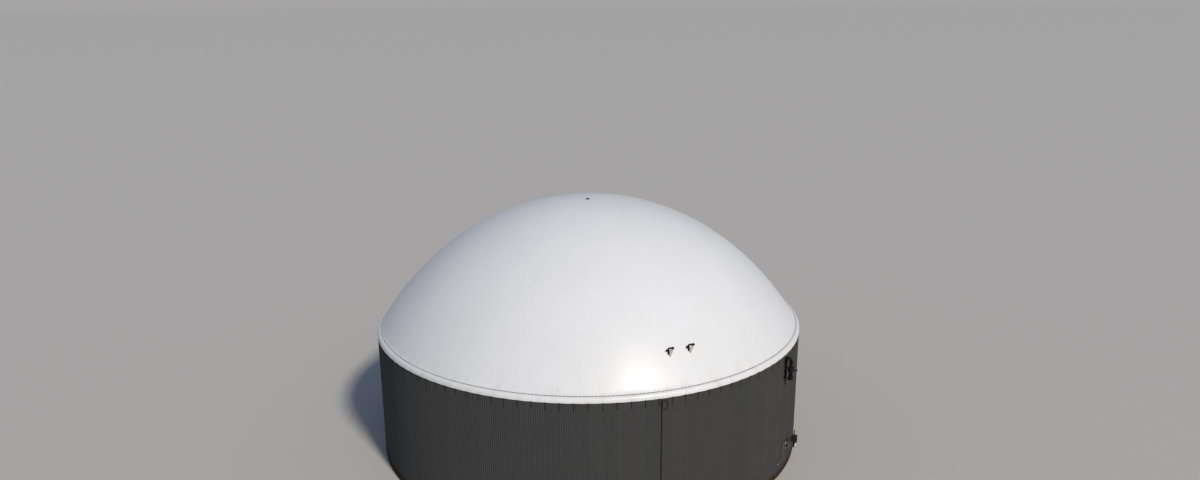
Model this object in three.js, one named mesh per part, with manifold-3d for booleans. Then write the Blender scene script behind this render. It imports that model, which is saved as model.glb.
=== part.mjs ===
// Biogas digester: a round concrete tank in insulated, ribbed steel cladding, closed by a gas dome.
// Millimetres, +Z up. The origin is the middle of the base at ground level, and -Y is the front.
import * as THREE from 'three';
import { mergeVertices } from 'three/addons/utils/BufferGeometryUtils.js';
import loadManifold from 'manifold-3d';

const wasm = await loadManifold();
wasm.setup();

// Driving dimensions of the tank
const CLADDING_RADIUS = 13780; // over the crests of the ribbed sheet
const CLADDING_THICKNESS = 140; // insulation with the sheet in front of it
const CLADDING_FOOT = 150; // the sheet stops above the ground
const CLADDING_TOP = 8015;
const WALL_THICKNESS = 250; // reinforced concrete
const WALL_TOP = 8260;
const SLAB_THICKNESS = 250;

// Driving dimensions of the dome and of its edge
const DOME_FOOT_RADIUS = 13552; // where the curve of the membrane meets the clamping rail
const DOME_FOOT_HEIGHT = 8298;
const APEX_HEIGHT = 16050;
const DOME_FULLNESS = 1.0647; // 1 is a plain spherical cap, more draws the foot in a little
const MEMBRANE_THICKNESS = 20;
const MEMBRANE_EDGE_THICKNESS = 22;
const MEMBRANE_REST = 18; // the membrane's edge lies this far out of the rail
const MEMBRANE_LAP = 45; // and this far in from it on the wall head
const RAIL_WIDTH = 50;
const RAIL_HEIGHT = 15;
const SKIRT_RADIUS = 13800; // the lip of the rounded cover, just outside the cladding
const SKIRT_LIP_HEIGHT = 8000;
const SKIRT_LIP = 12; // upright part of the lip
const SKIRT_TOP = 8294;

// Fits and facets
const CLEARANCE = 0.3; // between pieces that touch
const SLACK = 2; // between the cover and what it goes round
const ROOT = 60; // how deep a fitting's foot starts in the membrane before it is trimmed
const SIDES = 72; // facets round the tank
const SEGMENTS = 8; // pieces that the wall and the cladding come in
const FACET = 360 / SIDES;
const APOTHEM = CLADDING_RADIUS * Math.cos(Math.PI / SIDES);

// Bearings of the fittings, in degrees from the front, positive towards +X
const VENT_BEARINGS = [21.35, 27.1];
const DUCT_BEARING = 16.85;
const RELIEF_BEARING = 58.3;
const DRAIN_BEARING = 62.5;
const HATCH_BEARING = 7.5;
const FEED_BEARINGS = [22.5, 27.5];
const SAMPLE_BEARING = -37.5;

const digester = new THREE.Group();
const radians = THREE.MathUtils.degToRad;

// Materials
const finish = (color, roughness, metalness) =>
  new THREE.MeshStandardMaterial({ color, roughness, metalness });
const concrete = finish(0x6f6d69, 0.9, 0);
const anthracite = finish(0x424242, 0.55, 0.2);
const membrane = finish(0xe4e6e6, 0.45, 0);
const galvanised = finish(0xa7a9a8, 0.5, 0.8);
const blackPlastic = finish(0x151515, 0.5, 0);
const paleSleeve = finish(0xb9b8b2, 0.6, 0);
const paintedWhite = finish(0xdedede, 0.45, 0.1);

// Adds a named piece to a group
function piece(name, geometry, material, parent = digester) {
  const mesh = new THREE.Mesh(geometry, material);
  mesh.name = name;
  parent.add(mesh);
  return mesh;
}

// A frame on the wall: +X runs along its facet to the right, -Y points away and the face is at y = 0
function wallFrame(bearing, height = 0) {
  const middle = (Math.floor(bearing / FACET) + 0.5) * FACET;
  const turn = new THREE.Group();
  turn.rotation.z = radians(middle);
  const frame = new THREE.Group();
  frame.position.set(APOTHEM * Math.tan(radians(bearing - middle)), -(APOTHEM + CLEARANCE), height);
  turn.add(frame);
  digester.add(turn);
  return frame;
}

// A point at a bearing, a radius and a height
function polar(bearing, radius, height = 0) {
  const angle = radians(bearing);
  return new THREE.Vector3(radius * Math.sin(angle), -radius * Math.cos(angle), height);
}

// A solid of revolution about +Z from [radius, height] pairs
function turned(profile, sides = SIDES) {
  const points = profile.map(([radius, height]) => new THREE.Vector2(radius, height));
  return new THREE.LatheGeometry(points, sides).rotateX(Math.PI / 2);
}

// A closed ring about +Z: its profile returns to where it starts
const ring = (profile, sides = SIDES) => turned([...profile, profile[0]], sides);

// A box between two corners
function block([x0, y0, z0], [x1, y1, z1]) {
  const box = new THREE.BoxGeometry(x1 - x0, y1 - y0, z1 - z0);
  return box.translate((x0 + x1) / 2, (y0 + y1) / 2, (z0 + z1) / 2);
}

// A tube along straight runs with rounded corners
function tube(points, radius, bend, sides = 10) {
  const route = new THREE.CurvePath();
  let start = points[0];
  for (let i = 1; i < points.length - 1; i += 1) {
    const corner = points[i];
    const reach = Math.min(bend, corner.distanceTo(points[i - 1]) / 2, corner.distanceTo(points[i + 1]) / 2);
    const before = corner.clone().lerp(points[i - 1], reach / corner.distanceTo(points[i - 1]));
    const after = corner.clone().lerp(points[i + 1], reach / corner.distanceTo(points[i + 1]));
    route.add(new THREE.LineCurve3(start, before));
    route.add(new THREE.QuadraticBezierCurve3(before, corner, after));
    start = after;
  }
  route.add(new THREE.LineCurve3(start, points[points.length - 1]));
  const section = new THREE.Shape();
  for (let i = 0; i < sides; i += 1) {
    const angle = (2 * Math.PI * i) / sides;
    section[i ? 'lineTo' : 'moveTo'](radius * Math.cos(angle), radius * Math.sin(angle));
  }
  section.closePath();
  const steps = 4 * (2 * points.length - 3);
  return new THREE.ExtrudeGeometry(section, { extrudePath: route, steps, bevelEnabled: false });
}

// Solids for cutting and joining
function toSolid(geometry) {
  const bare = geometry.clone();
  bare.deleteAttribute('normal');
  bare.deleteAttribute('uv');
  const merged = mergeVertices(bare, 0.001);
  const index = merged.index.array;
  const triangles = [];
  for (let i = 0; i < index.length; i += 3) {
    const [a, b, c] = index.slice(i, i + 3);
    if (a !== b && b !== c && c !== a) triangles.push(a, b, c);
  }
  const mesh = new wasm.Mesh({
    numProp: 3,
    vertProperties: new Float32Array(merged.attributes.position.array),
    triVerts: new Uint32Array(triangles),
  });
  return new wasm.Manifold(mesh);
}

function toGeometry(solid) {
  const mesh = solid.getMesh();
  const geometry = new THREE.BufferGeometry();
  geometry.setAttribute('position', new THREE.BufferAttribute(new Float32Array(mesh.vertProperties), 3));
  geometry.setIndex(new THREE.BufferAttribute(new Uint32Array(mesh.triVerts), 1));
  geometry.computeVertexNormals();
  return geometry;
}

const joined = (first, ...others) =>
  toGeometry(others.reduce((solid, other) => solid.add(toSolid(other)), toSolid(first)));

// Tank: floor, wall and cladding
const claddingInner = CLADDING_RADIUS - CLADDING_THICKNESS;
const wallOuter = claddingInner - CLEARANCE;
const wallInner = wallOuter - WALL_THICKNESS;

// A segment of a round wall, standing on z = 0
function wallSegment(inner, outer, from, to, height) {
  const gap = THREE.MathUtils.radToDeg(CLEARANCE / 2 / inner);
  const facets = Math.round((to - from) / FACET);
  const bearings = [];
  for (let i = 0; i <= facets; i += 1) bearings.push(from + i * FACET);
  bearings[0] += gap;
  bearings[facets] -= gap;
  const outline = [
    ...bearings.map((bearing) => polar(bearing, outer)),
    ...bearings.reverse().map((bearing) => polar(bearing, inner)),
  ];
  const shape = new THREE.Shape(outline.map((point) => new THREE.Vector2(point.x, point.y)));
  return new THREE.ExtrudeGeometry(shape, { depth: height, bevelEnabled: false });
}

function buildTank() {
  const slab = turned([[0, 0], [wallOuter, 0], [wallOuter, SLAB_THICKNESS], [0, SLAB_THICKNESS]]);
  piece('floor_slab', slab, concrete);
  const span = 360 / SEGMENTS;
  const wallFoot = SLAB_THICKNESS + CLEARANCE;
  const claddingHeight = CLADDING_TOP - CLADDING_FOOT;
  for (let i = 0; i < SEGMENTS; i += 1) {
    const from = i * span;
    const wall = wallSegment(wallInner, wallOuter, from, from + span, WALL_TOP - wallFoot);
    piece(`tank_wall_${i + 1}`, wall, concrete).position.z = wallFoot;
    const sheet = wallSegment(claddingInner, CLADDING_RADIUS, from, from + span, claddingHeight);
    piece(`cladding_${i + 1}`, sheet, anthracite).position.z = CLADDING_FOOT;
  }
}

// Dome: the membrane, the rail that clamps its edge and the rounded cover over the wall head
const DOME_RISE = APEX_HEIGHT - DOME_FOOT_HEIGHT;
const CAP_RADIUS = (DOME_FOOT_RADIUS ** 2 + DOME_RISE ** 2) / (2 * DOME_RISE);
const DOME_RINGS = 12;
const CURVE_STOP = 6; // the curve stops this far inside the rail
const railInner = DOME_FOOT_RADIUS - RAIL_WIDTH / 2;
const railOuter = DOME_FOOT_RADIUS + RAIL_WIDTH / 2;
const membraneEnd = railOuter + MEMBRANE_REST;
const edgeTop = WALL_TOP + CLEARANCE + MEMBRANE_EDGE_THICKNESS;

function domeHeight(radius) {
  const cap = Math.sqrt(CAP_RADIUS ** 2 - radius ** 2) - (CAP_RADIUS - DOME_RISE);
  return DOME_FOOT_HEIGHT + DOME_RISE * (Math.max(cap, 0) / DOME_RISE) ** DOME_FULLNESS;
}

// Points of the dome's curve from the apex to just inside the rail, moved outwards by an offset
function domeCurve(offset) {
  const lowest = railInner - CURVE_STOP;
  const widest = Math.asin(lowest / CAP_RADIUS);
  const points = [];
  for (let i = 0; i <= DOME_RINGS; i += 1) {
    const angle = (widest * i) / DOME_RINGS;
    const radius = CAP_RADIUS * Math.sin(angle);
    const side = offset * Math.sin(angle);
    points.push([radius + side, domeHeight(radius) + offset * Math.cos(angle)]);
  }
  return points;
}

function buildDome() {
  const foot = WALL_TOP + CLEARANCE;
  const outside = domeCurve(0);
  const inside = domeCurve(-MEMBRANE_THICKNESS).reverse();
  const edge = [
    [railInner - CURVE_STOP / 2, edgeTop],
    [membraneEnd, edgeTop],
    [membraneEnd, foot],
    [railInner - MEMBRANE_LAP, foot],
  ];
  piece('dome_membrane', turned([...outside, ...edge, ...inside].reverse()), membrane);
  const railFoot = edgeTop + CLEARANCE;
  const railTop = railFoot + RAIL_HEIGHT;
  piece('clamp_rail', ring([
    [railInner, railFoot],
    [railOuter, railFoot],
    [railOuter, railTop],
    [railInner, railTop],
  ]), galvanised);
}

// The cover's outside is a quarter ellipse from the wall head down to its lip
function buildSkirt() {
  const inner = membraneEnd + SLACK;
  const outer = CLADDING_RADIUS + SLACK;
  const lipTop = SKIRT_LIP_HEIGHT + SKIRT_LIP;
  const ARC_POINTS = 7;
  const arc = [];
  for (let i = 0; i <= ARC_POINTS; i += 1) {
    const angle = (Math.PI / 2) * (i / ARC_POINTS);
    arc.push([
      inner + (SKIRT_RADIUS - inner) * Math.sin(angle),
      lipTop + (SKIRT_TOP - lipTop) * Math.cos(angle),
    ]);
  }
  const seat = CLADDING_TOP + CLEARANCE;
  piece('edge_skirt', ring([
    [wallOuter + CLEARANCE, seat],
    [outer, seat],
    [outer, SKIRT_LIP_HEIGHT],
    [SKIRT_RADIUS, SKIRT_LIP_HEIGHT],
    ...arc.reverse(),
    [inner, WALL_TOP + CLEARANCE],
    [wallOuter + CLEARANCE, WALL_TOP + CLEARANCE],
  ]), membrane);
}

// What stands on the dome is trimmed by the membrane, a hair above it
function onDome(geometry) {
  const curve = domeCurve(CLEARANCE);
  const [footRadius] = curve[curve.length - 1];
  const below = turned([...curve, [footRadius, WALL_TOP], [0, WALL_TOP]].reverse());
  return toGeometry(toSolid(geometry).subtract(toSolid(below)));
}

// Vents: a pale sleeve welded into the membrane, under a black neck that ends in a round cap
function buildVents() {
  const FOOT_RADIUS = 12455;
  const SLEEVE = { root: 150, length: 335, foot: 60, top: 98 };
  const LEAN = radians(21);
  const NECK = { radius: 48, bend: 110 };
  const NECK_FOOT = new THREE.Vector3(-88, 72, -ROOT);
  const NECK_TOP = new THREE.Vector3(-50, 130, 400);
  const CAP_CENTRE = new THREE.Vector3(45, -200, 500);
  const CAP_BALL = 82; // radius of the round cap
  const STUB_ROOT = new THREE.Vector3(-66, 106, 280); // on the neck's axis, where a stub looks left
  const STUB_END = new THREE.Vector3(-195, 106, 276);
  const STUB_RADIUS = 52;
  const sleeveProfile = [
    [0, -SLEEVE.root],
    [SLEEVE.foot, -SLEEVE.root],
    [SLEEVE.foot, 0],
    [SLEEVE.top, SLEEVE.length],
    [0, SLEEVE.length],
  ];
  VENT_BEARINGS.forEach((bearing, index) => {
    const place = new THREE.Matrix4().makeRotationZ(radians(bearing));
    place.setPosition(polar(bearing, FOOT_RADIUS, domeHeight(FOOT_RADIUS)));
    const sleeve = turned(sleeveProfile, 16).rotateX(LEAN).applyMatrix4(place);
    const neck = tube([NECK_FOOT, NECK_TOP, CAP_CENTRE], NECK.radius, NECK.bend);
    const stub = tube([STUB_ROOT, STUB_END], STUB_RADIUS, 0);
    const cap = new THREE.SphereGeometry(CAP_BALL, 14, 10).translate(...CAP_CENTRE.toArray());
    piece(`vent_${index + 1}_sleeve`, onDome(sleeve), paleSleeve);
    piece(`vent_${index + 1}_neck`, onDome(joined(neck, stub, cap).applyMatrix4(place)), blackPlastic);
  });
}

// Small fittings in the membrane: two studs just above the rail and a capped flange by the apex
function buildMembraneFittings() {
  const STUD = { radius: 35, height: 70 };
  const STUD_PLACES = [
    { bearing: -6.2, radius: 13367 },
    { bearing: 11.6, radius: 13440 },
  ];
  STUD_PLACES.forEach(({ bearing, radius }, index) => {
    const profile = [[0, -ROOT], [STUD.radius, -ROOT], [STUD.radius, STUD.height], [0, STUD.height]];
    const shape = turned(profile, 12);
    const place = new THREE.Matrix4().makeRotationZ(radians(bearing));
    place.setPosition(polar(bearing, radius, domeHeight(radius)));
    shape.rotateX(Math.asin(radius / CAP_RADIUS)).applyMatrix4(place);
    piece(`membrane_stud_${index + 1}`, onDome(shape), paintedWhite);
  });
  const APEX = { offset: 500, flange: 150, flangeTop: 18, cap: 75, top: 75 };
  const flange = turned([
    [0, -ROOT],
    [APEX.flange, -ROOT],
    [APEX.flange, APEX.flangeTop],
    [APEX.cap, APEX.flangeTop],
    [APEX.cap, APEX.top],
    [0, APEX.top],
  ], 20);
  const spot = polar(0, APEX.offset, domeHeight(APEX.offset));
  piece('apex_fitting', onDome(flange.translate(spot.x, spot.y, spot.z)), galvanised);
}

// Cable duct: a black channel up the wall, with a wider head and a bow of conduit beside it
function buildCableDuct() {
  const CHANNEL = { width: 50, depth: 46, from: 200 };
  const HEAD = { width: 85, depth: 62, from: 7450, to: 7890 };
  const BOW = { radius: 22, reach: 335, top: 7840, bottom: 7330, bend: 200 };
  const LAP = 10;
  const frame = wallFrame(DUCT_BEARING);
  const channel = block(
    [-CHANNEL.width / 2, -CHANNEL.depth, CHANNEL.from],
    [CHANNEL.width / 2, 0, HEAD.from + LAP],
  );
  const head = block([-HEAD.width / 2, -HEAD.depth, HEAD.from], [HEAD.width / 2, 0, HEAD.to]);
  piece('cable_duct', joined(channel, head), blackPlastic, frame);
  const corners = [
    [HEAD.width / 2 + CLEARANCE, BOW.top],
    [BOW.reach, BOW.top],
    [BOW.reach, BOW.bottom],
    [CHANNEL.width / 2 + CLEARANCE, BOW.bottom],
  ];
  const route = corners.map(([x, z]) => new THREE.Vector3(x, -(BOW.radius + CLEARANCE), z));
  piece('conduit_bow', tube(route, BOW.radius, BOW.bend, 8), blackPlastic, frame);
}

// Points that lead a tube round an arc in the plane x = 0. Its angles, in degrees, count from the -Y side.
function roundArc(y, z, radius, from, to, count) {
  const step = radians((to - from) / count);
  const reach = radius / Math.cos(step / 2);
  return Array.from({ length: count }, (_, i) => {
    const angle = radians(from) + step * (i + 0.5);
    return new THREE.Vector3(0, y - reach * Math.cos(angle), z + reach * Math.sin(angle));
  });
}

// Gas relief device: a black pipe on the wall, a thick bend to a valve on a water pot, its bracket
function buildReliefDevice() {
  const frame = wallFrame(RELIEF_BEARING);
  const PIPE = { radius: 55, y: -105, from: 6336, to: 7660 };
  const CLIP = { half: 75, thick: 50, heights: [6600, 7450] };
  const COLUMN = -395; // the valve's and the pot's axis stands this far out
  const ELBOW = { radius: 85, bend: 110, high: 7750, low: 7706, slope: 58, blend: 40 };
  const POT = { radius: 145, foot: 6515, top: 6740 };
  const VALVE = { radius: 185, neck: 108, neckTop: 7690, sides: 20 }; // a flat side faces the outlet
  const OUTLET = { height: 7170, radius: 40, length: 175, flange: 75, end: 195 };
  const BRACKET = { half: 120, depth: 150, thick: 50, strutReach: 240, strutFoot: 300 };
  const ARM = { inside: 75, width: 35 }; // one arm passes on either side of the pipe

  const stand = turned([[0, PIPE.from], [PIPE.radius, PIPE.from], [PIPE.radius, PIPE.to], [0, PIPE.to]], 16);
  const clips = CLIP.heights.map((height) =>
    block([-CLIP.half, PIPE.y, height - CLIP.thick / 2], [CLIP.half, 0, height + CLIP.thick / 2]));
  piece('relief_pipe', joined(stand.translate(0, PIPE.y, 0), ...clips), blackPlastic, frame);

  const elbow = tube([
    new THREE.Vector3(0, PIPE.y, PIPE.to + CLEARANCE),
    ...roundArc(PIPE.y - ELBOW.bend, ELBOW.high, ELBOW.bend, 180, ELBOW.slope, 3),
    ...roundArc(COLUMN + ELBOW.bend, ELBOW.low, ELBOW.bend, ELBOW.slope, 0, 2),
    new THREE.Vector3(0, COLUMN, VALVE.neckTop + CLEARANCE),
  ], ELBOW.radius, ELBOW.blend, 12);
  piece('relief_elbow', elbow, blackPlastic, frame);

  const valve = turned([
    [0, POT.top + CLEARANCE],
    [58, POT.top + CLEARANCE],
    [58, 6880],
    [95, 6900],
    [118, 7030],
    [VALVE.radius, 7045],
    [VALVE.radius, 7310],
    [118, 7330],
    [62, 7345],
    [62, 7435],
    [VALVE.neck, 7440],
    [VALVE.neck, VALVE.neckTop],
    [0, VALVE.neckTop],
  ], VALVE.sides).rotateZ(Math.PI / VALVE.sides);
  piece('relief_valve', valve.translate(0, COLUMN, 0), blackPlastic, frame);

  const pot = turned([[0, POT.foot], [POT.radius, POT.foot], [POT.radius, POT.top], [0, POT.top]], 20);
  piece('relief_pot', pot.translate(0, COLUMN, 0), blackPlastic, frame);

  const root = COLUMN - VALVE.radius * Math.cos(Math.PI / VALVE.sides) - CLEARANCE;
  const outlet = turned([
    [0, 0],
    [OUTLET.radius, 0],
    [OUTLET.radius, OUTLET.length],
    [OUTLET.flange, OUTLET.length],
    [OUTLET.flange, OUTLET.end],
    [0, OUTLET.end],
  ], 14).rotateX(Math.PI / 2);
  piece('relief_outlet', outlet.translate(0, root, OUTLET.height), galvanised, frame);

  const shelfTop = POT.foot - CLEARANCE;
  const shelfFoot = POT.foot - BRACKET.thick;
  const shelf = block(
    [-BRACKET.half, COLUMN - BRACKET.depth, shelfFoot],
    [BRACKET.half, COLUMN + BRACKET.depth, shelfTop],
  );
  const arms = [-ARM.inside - ARM.width, ARM.inside].flatMap((x) => [
    block([x, COLUMN, shelfFoot], [x + ARM.width, 0, shelfTop]),
    block([x, -BRACKET.strutReach, POT.foot - BRACKET.strutFoot], [x + ARM.width, 0, shelfTop]),
  ]);
  piece('relief_bracket', joined(shelf, ...arms), galvanised, frame);
}

// Drain: a pipe on a strut, a gate valve with an actuator on top, and a blind flange
function buildDrain() {
  const frame = wallFrame(DRAIN_BEARING, 1790);
  const PIPE = { radius: 57, length: 480, rosette: 120, rosetteDepth: 14, flange: 105, flangeDepth: 20 };
  const STRUT = { radius: 24, reach: 330, top: -30, foot: -380, bend: 30 };
  const VALVE = { half: 105, foot: -130, head: 150, depth: 110, bonnet: 70 };
  const ACTUATOR = { half: 110, back: -420, front: -700, foot: 200, head: 660 };
  const CONTROL = { half: 90, back: -250, foot: 210, head: 500 }; // on the actuator's back
  const STEM_COVER = { radius: 35, y: -510, top: 990 };
  const FLANGE = { radius: 150, depth: 35 };
  const LAP = 10;
  const neck = PIPE.length - PIPE.flangeDepth;
  const pipe = turned([
    [0, 0],
    [PIPE.rosette, 0],
    [PIPE.rosette, PIPE.rosetteDepth],
    [PIPE.radius, PIPE.rosetteDepth],
    [PIPE.radius, neck],
    [PIPE.flange, neck],
    [PIPE.flange, PIPE.length],
    [0, PIPE.length],
  ], 16).rotateX(Math.PI / 2);
  const strut = tube([
    new THREE.Vector3(0, -STRUT.reach, STRUT.top),
    new THREE.Vector3(0, -STRUT.bend, STRUT.foot),
    new THREE.Vector3(0, 0, STRUT.foot),
  ], STRUT.radius, STRUT.bend, 8);
  piece('drain_pipe', joined(pipe, strut), galvanised, frame);

  const near = -PIPE.length - CLEARANCE;
  const far = near - VALVE.depth;
  const body = block([-VALVE.half, far, VALVE.foot], [VALVE.half, near, VALVE.head]);
  const bonnet = block(
    [-VALVE.bonnet, far + LAP, VALVE.head - LAP],
    [VALVE.bonnet, near - LAP, ACTUATOR.foot + LAP],
  );
  const actuator = block(
    [-ACTUATOR.half, ACTUATOR.front, ACTUATOR.foot],
    [ACTUATOR.half, ACTUATOR.back, ACTUATOR.head],
  );
  const control = block(
    [-CONTROL.half, ACTUATOR.back - LAP, CONTROL.foot],
    [CONTROL.half, CONTROL.back, CONTROL.head],
  );
  const stemFoot = ACTUATOR.head - LAP;
  const stemCover = turned([
    [0, stemFoot],
    [STEM_COVER.radius, stemFoot],
    [STEM_COVER.radius, STEM_COVER.top],
    [0, STEM_COVER.top],
  ], 12).translate(0, STEM_COVER.y, 0);
  piece('drain_valve', joined(body, bonnet, actuator, control, stemCover), blackPlastic, frame);
  const flange = turned([[0, 0], [FLANGE.radius, 0], [FLANGE.radius, FLANGE.depth], [0, FLANGE.depth]], 24);
  piece('drain_flange', flange.rotateX(Math.PI / 2).translate(0, far - CLEARANCE, 0), paintedWhite, frame);
}

// Service pipe: a thin pipe down the wall beside the drain, bent round to where it goes back in
function buildServicePipe() {
  const PIPE = { radius: 27, bend: 60, standOff: 62 };
  const UPPER = { bearing: 61.4, height: 2060 };
  const DROP = { bearing: 59.3, foot: 1130 };
  const LOWER = { bearing: 56.3, height: 1020 };
  const reach = CLADDING_RADIUS + PIPE.standOff;
  const face = ({ bearing, height }) => {
    const middle = (Math.floor(bearing / FACET) + 0.5) * FACET;
    return polar(bearing, APOTHEM / Math.cos(radians(bearing - middle)) + CLEARANCE * 2, height);
  };
  const route = [
    face(UPPER),
    polar(UPPER.bearing, reach, UPPER.height),
    polar(DROP.bearing, reach, UPPER.height),
    polar(DROP.bearing, reach, DROP.foot),
    polar(LOWER.bearing, reach, LOWER.height),
    face(LOWER),
  ];
  piece('service_pipe', tube(route, PIPE.radius, PIPE.bend, 8), galvanised);
}

// Access hatch: a framed cover with two stiffening bars and a sill under it
function buildHatch() {
  const frame = wallFrame(HATCH_BEARING);
  const SIZE = { width: 1100, foot: 600, head: 1650, bar: 75, depth: 60 };
  const SILL = { over: 20, depth: 72, drop: 45 };
  const COVER_DEPTH = 40;
  const STIFFENER = { inset: 70, depth: 85, width: 70, heights: [1160, 1420] };
  const LAP = 10;
  const half = SIZE.width / 2;
  const inside = half - SIZE.bar;
  const corner = (x, z) => new THREE.Vector2(x, z);
  const outline = new THREE.Shape([
    corner(-half, SIZE.foot),
    corner(half, SIZE.foot),
    corner(half, SIZE.head),
    corner(-half, SIZE.head),
  ]);
  outline.holes.push(new THREE.Path([
    corner(-inside, SIZE.foot + SIZE.bar),
    corner(-inside, SIZE.head - SIZE.bar),
    corner(inside, SIZE.head - SIZE.bar),
    corner(inside, SIZE.foot + SIZE.bar),
  ]));
  const surround = new THREE.ExtrudeGeometry(outline, { depth: SIZE.depth, bevelEnabled: false });
  const sill = block(
    [-half - SILL.over, -SILL.depth, SIZE.foot - SILL.drop],
    [half + SILL.over, 0, SIZE.foot + LAP],
  );
  piece('hatch_frame', joined(surround.rotateX(Math.PI / 2), sill), anthracite, frame);
  const cover = block(
    [-inside + CLEARANCE, -COVER_DEPTH, SIZE.foot + SIZE.bar + CLEARANCE],
    [inside - CLEARANCE, 0, SIZE.head - SIZE.bar - CLEARANCE],
  );
  const bars = STIFFENER.heights.map((height) => block(
    [-inside + STIFFENER.inset, -STIFFENER.depth, height - STIFFENER.width / 2],
    [inside - STIFFENER.inset, LAP - COVER_DEPTH, height + STIFFENER.width / 2],
  ));
  piece('hatch_cover', joined(cover, ...bars), anthracite, frame);
}

// Feed stubs: short pipes through the cladding, each with a valve above and a pale blind flange
function buildFeedStubs() {
  const HEIGHT = 1060;
  const STUB = { radius: 100, length: 170, rosette: 150, rosetteDepth: 18 };
  const CAP = { radius: 140, depth: 32 };
  FEED_BEARINGS.forEach((bearing, index) => {
    const frame = wallFrame(bearing, HEIGHT);
    const stub = turned([
      [0, 0],
      [STUB.rosette, 0],
      [STUB.rosette, STUB.rosetteDepth],
      [STUB.radius, STUB.rosetteDepth],
      [STUB.radius, STUB.length],
      [0, STUB.length],
    ], 18).rotateX(Math.PI / 2);
    const bonnet = turned([[0, 60], [60, 60], [60, 240], [80, 250], [80, 320], [0, 320]], 16);
    const cock = turned([[0, -260], [55, -260], [55, -60], [0, -60]], 12);
    const above = bonnet.translate(0, -STUB.length / 2, 0);
    const under = cock.translate(0, -STUB.length / 2, 0);
    piece(`feed_stub_${index + 1}`, joined(stub, above, under), blackPlastic, frame);
    const cap = turned([[0, 0], [CAP.radius, 0], [CAP.radius, CAP.depth], [0, CAP.depth]], 20);
    cap.rotateX(Math.PI / 2).translate(0, -STUB.length - CLEARANCE, 0);
    piece(`feed_cap_${index + 1}`, cap, galvanised, frame);
  });
}

// Sampling box: a small pale cabinet on the wall
function buildSampleBox() {
  const BOX = { width: 380, depth: 140, height: 220, middle: 1400 };
  const frame = wallFrame(SAMPLE_BEARING, BOX.middle);
  const box = block([-BOX.width / 2, -BOX.depth, -BOX.height / 2], [BOX.width / 2, 0, BOX.height / 2]);
  piece('sample_box', box, paintedWhite, frame);
}

buildTank();
buildDome();
buildSkirt();
buildVents();
buildMembraneFittings();
buildCableDuct();
buildReliefDevice();
buildDrain();
buildServicePipe();
buildHatch();
buildFeedStubs();
buildSampleBox();

export default digester;
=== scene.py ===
# %% [markdown]
# # A biogas digester under its gas dome
# The real object is a round concrete tank 27.6 m across. Insulation and dark ribbed steel sheet wrap its
# wall, and a white membrane that air pressure holds up closes it as a gas store. This lesson dresses the
# plain solids of the tank, piece by piece, with the shapes and finishes that the eye expects: ribs, laps,
# screws, a clamped membrane edge, welded seams and pipework.
#
# The frame is loaded first. Its solids say where everything goes, so a new piece is placed by them.

# %% Load the frame
import bmesh
import bpy
from functools import partial
from math import asin, cos, hypot, pi, radians, sin, sqrt, tan
from mathutils import Matrix, Vector


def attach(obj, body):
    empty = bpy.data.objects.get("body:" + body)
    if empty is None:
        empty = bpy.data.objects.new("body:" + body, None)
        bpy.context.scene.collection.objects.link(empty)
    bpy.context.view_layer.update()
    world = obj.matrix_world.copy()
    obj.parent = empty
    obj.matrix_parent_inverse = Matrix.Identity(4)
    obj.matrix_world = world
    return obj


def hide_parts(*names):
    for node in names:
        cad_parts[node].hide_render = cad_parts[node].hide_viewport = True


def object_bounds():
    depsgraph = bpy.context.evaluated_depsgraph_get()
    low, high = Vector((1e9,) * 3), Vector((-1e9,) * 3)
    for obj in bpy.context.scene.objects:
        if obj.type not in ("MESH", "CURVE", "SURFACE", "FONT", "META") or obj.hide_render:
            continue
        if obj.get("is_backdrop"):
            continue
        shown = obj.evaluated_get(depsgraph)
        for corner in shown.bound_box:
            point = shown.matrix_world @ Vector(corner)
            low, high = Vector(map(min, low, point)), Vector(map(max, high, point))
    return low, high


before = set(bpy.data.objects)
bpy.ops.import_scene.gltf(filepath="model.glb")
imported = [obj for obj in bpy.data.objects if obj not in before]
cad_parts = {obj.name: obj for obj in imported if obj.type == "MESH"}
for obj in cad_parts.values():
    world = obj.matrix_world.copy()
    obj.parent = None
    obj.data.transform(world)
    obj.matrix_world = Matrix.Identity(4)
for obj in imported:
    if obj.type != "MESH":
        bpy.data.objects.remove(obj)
cad_low, cad_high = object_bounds()
bpy.ops.object.select_all(action="DESELECT")
print("solids:", len(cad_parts), "box:", [round(v, 3) for v in (*cad_low, *cad_high)])

# %% [markdown]
# ## The view
# The picture was taken from the air, 28 m up and 56 m in front of the tank, with a lens of about 27 mm. A
# camera could be placed by eye, but its place, tilt and lens were worked out from the tank's rims, so they
# are given here as numbers. Shift moves the picture up or down without tilting the camera. Moves and turns
# are matrices, and two short names for them keep the places below easy to read.

# %% Place the camera
PICTURE_WIDTH, PICTURE_HEIGHT = 1200, 480
SENSOR_WIDTH = 36
FOCAL_PIXELS = 890.35
OPTICAL_AXIS_ROW = 247.07
EYE = (0.772, -56.465, 28.072)
TILT_DOWN = 15.213
ROLL = -0.334


def shift(x, y, z):
    """A move, as a matrix."""
    return Matrix.Translation((x, y, z))


def swing(degrees, axis="Z"):
    """A turn about an axis, as a matrix."""
    return Matrix.Rotation(radians(degrees), 4, axis)


bpy.ops.object.camera_add(location=EYE)
camera = bpy.context.object
camera.matrix_world = shift(*EYE) @ swing(90 - TILT_DOWN, "X") @ swing(ROLL)
camera.data.sensor_width = SENSOR_WIDTH
camera.data.lens = SENSOR_WIDTH * FOCAL_PIXELS / PICTURE_WIDTH
camera.data.shift_y = (OPTICAL_AXIS_ROW - PICTURE_HEIGHT / 2) / PICTURE_WIDTH
camera.data.clip_end = 60000
bpy.context.scene.camera = camera
print("lens:", round(camera.data.lens, 2), "mm")

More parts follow.
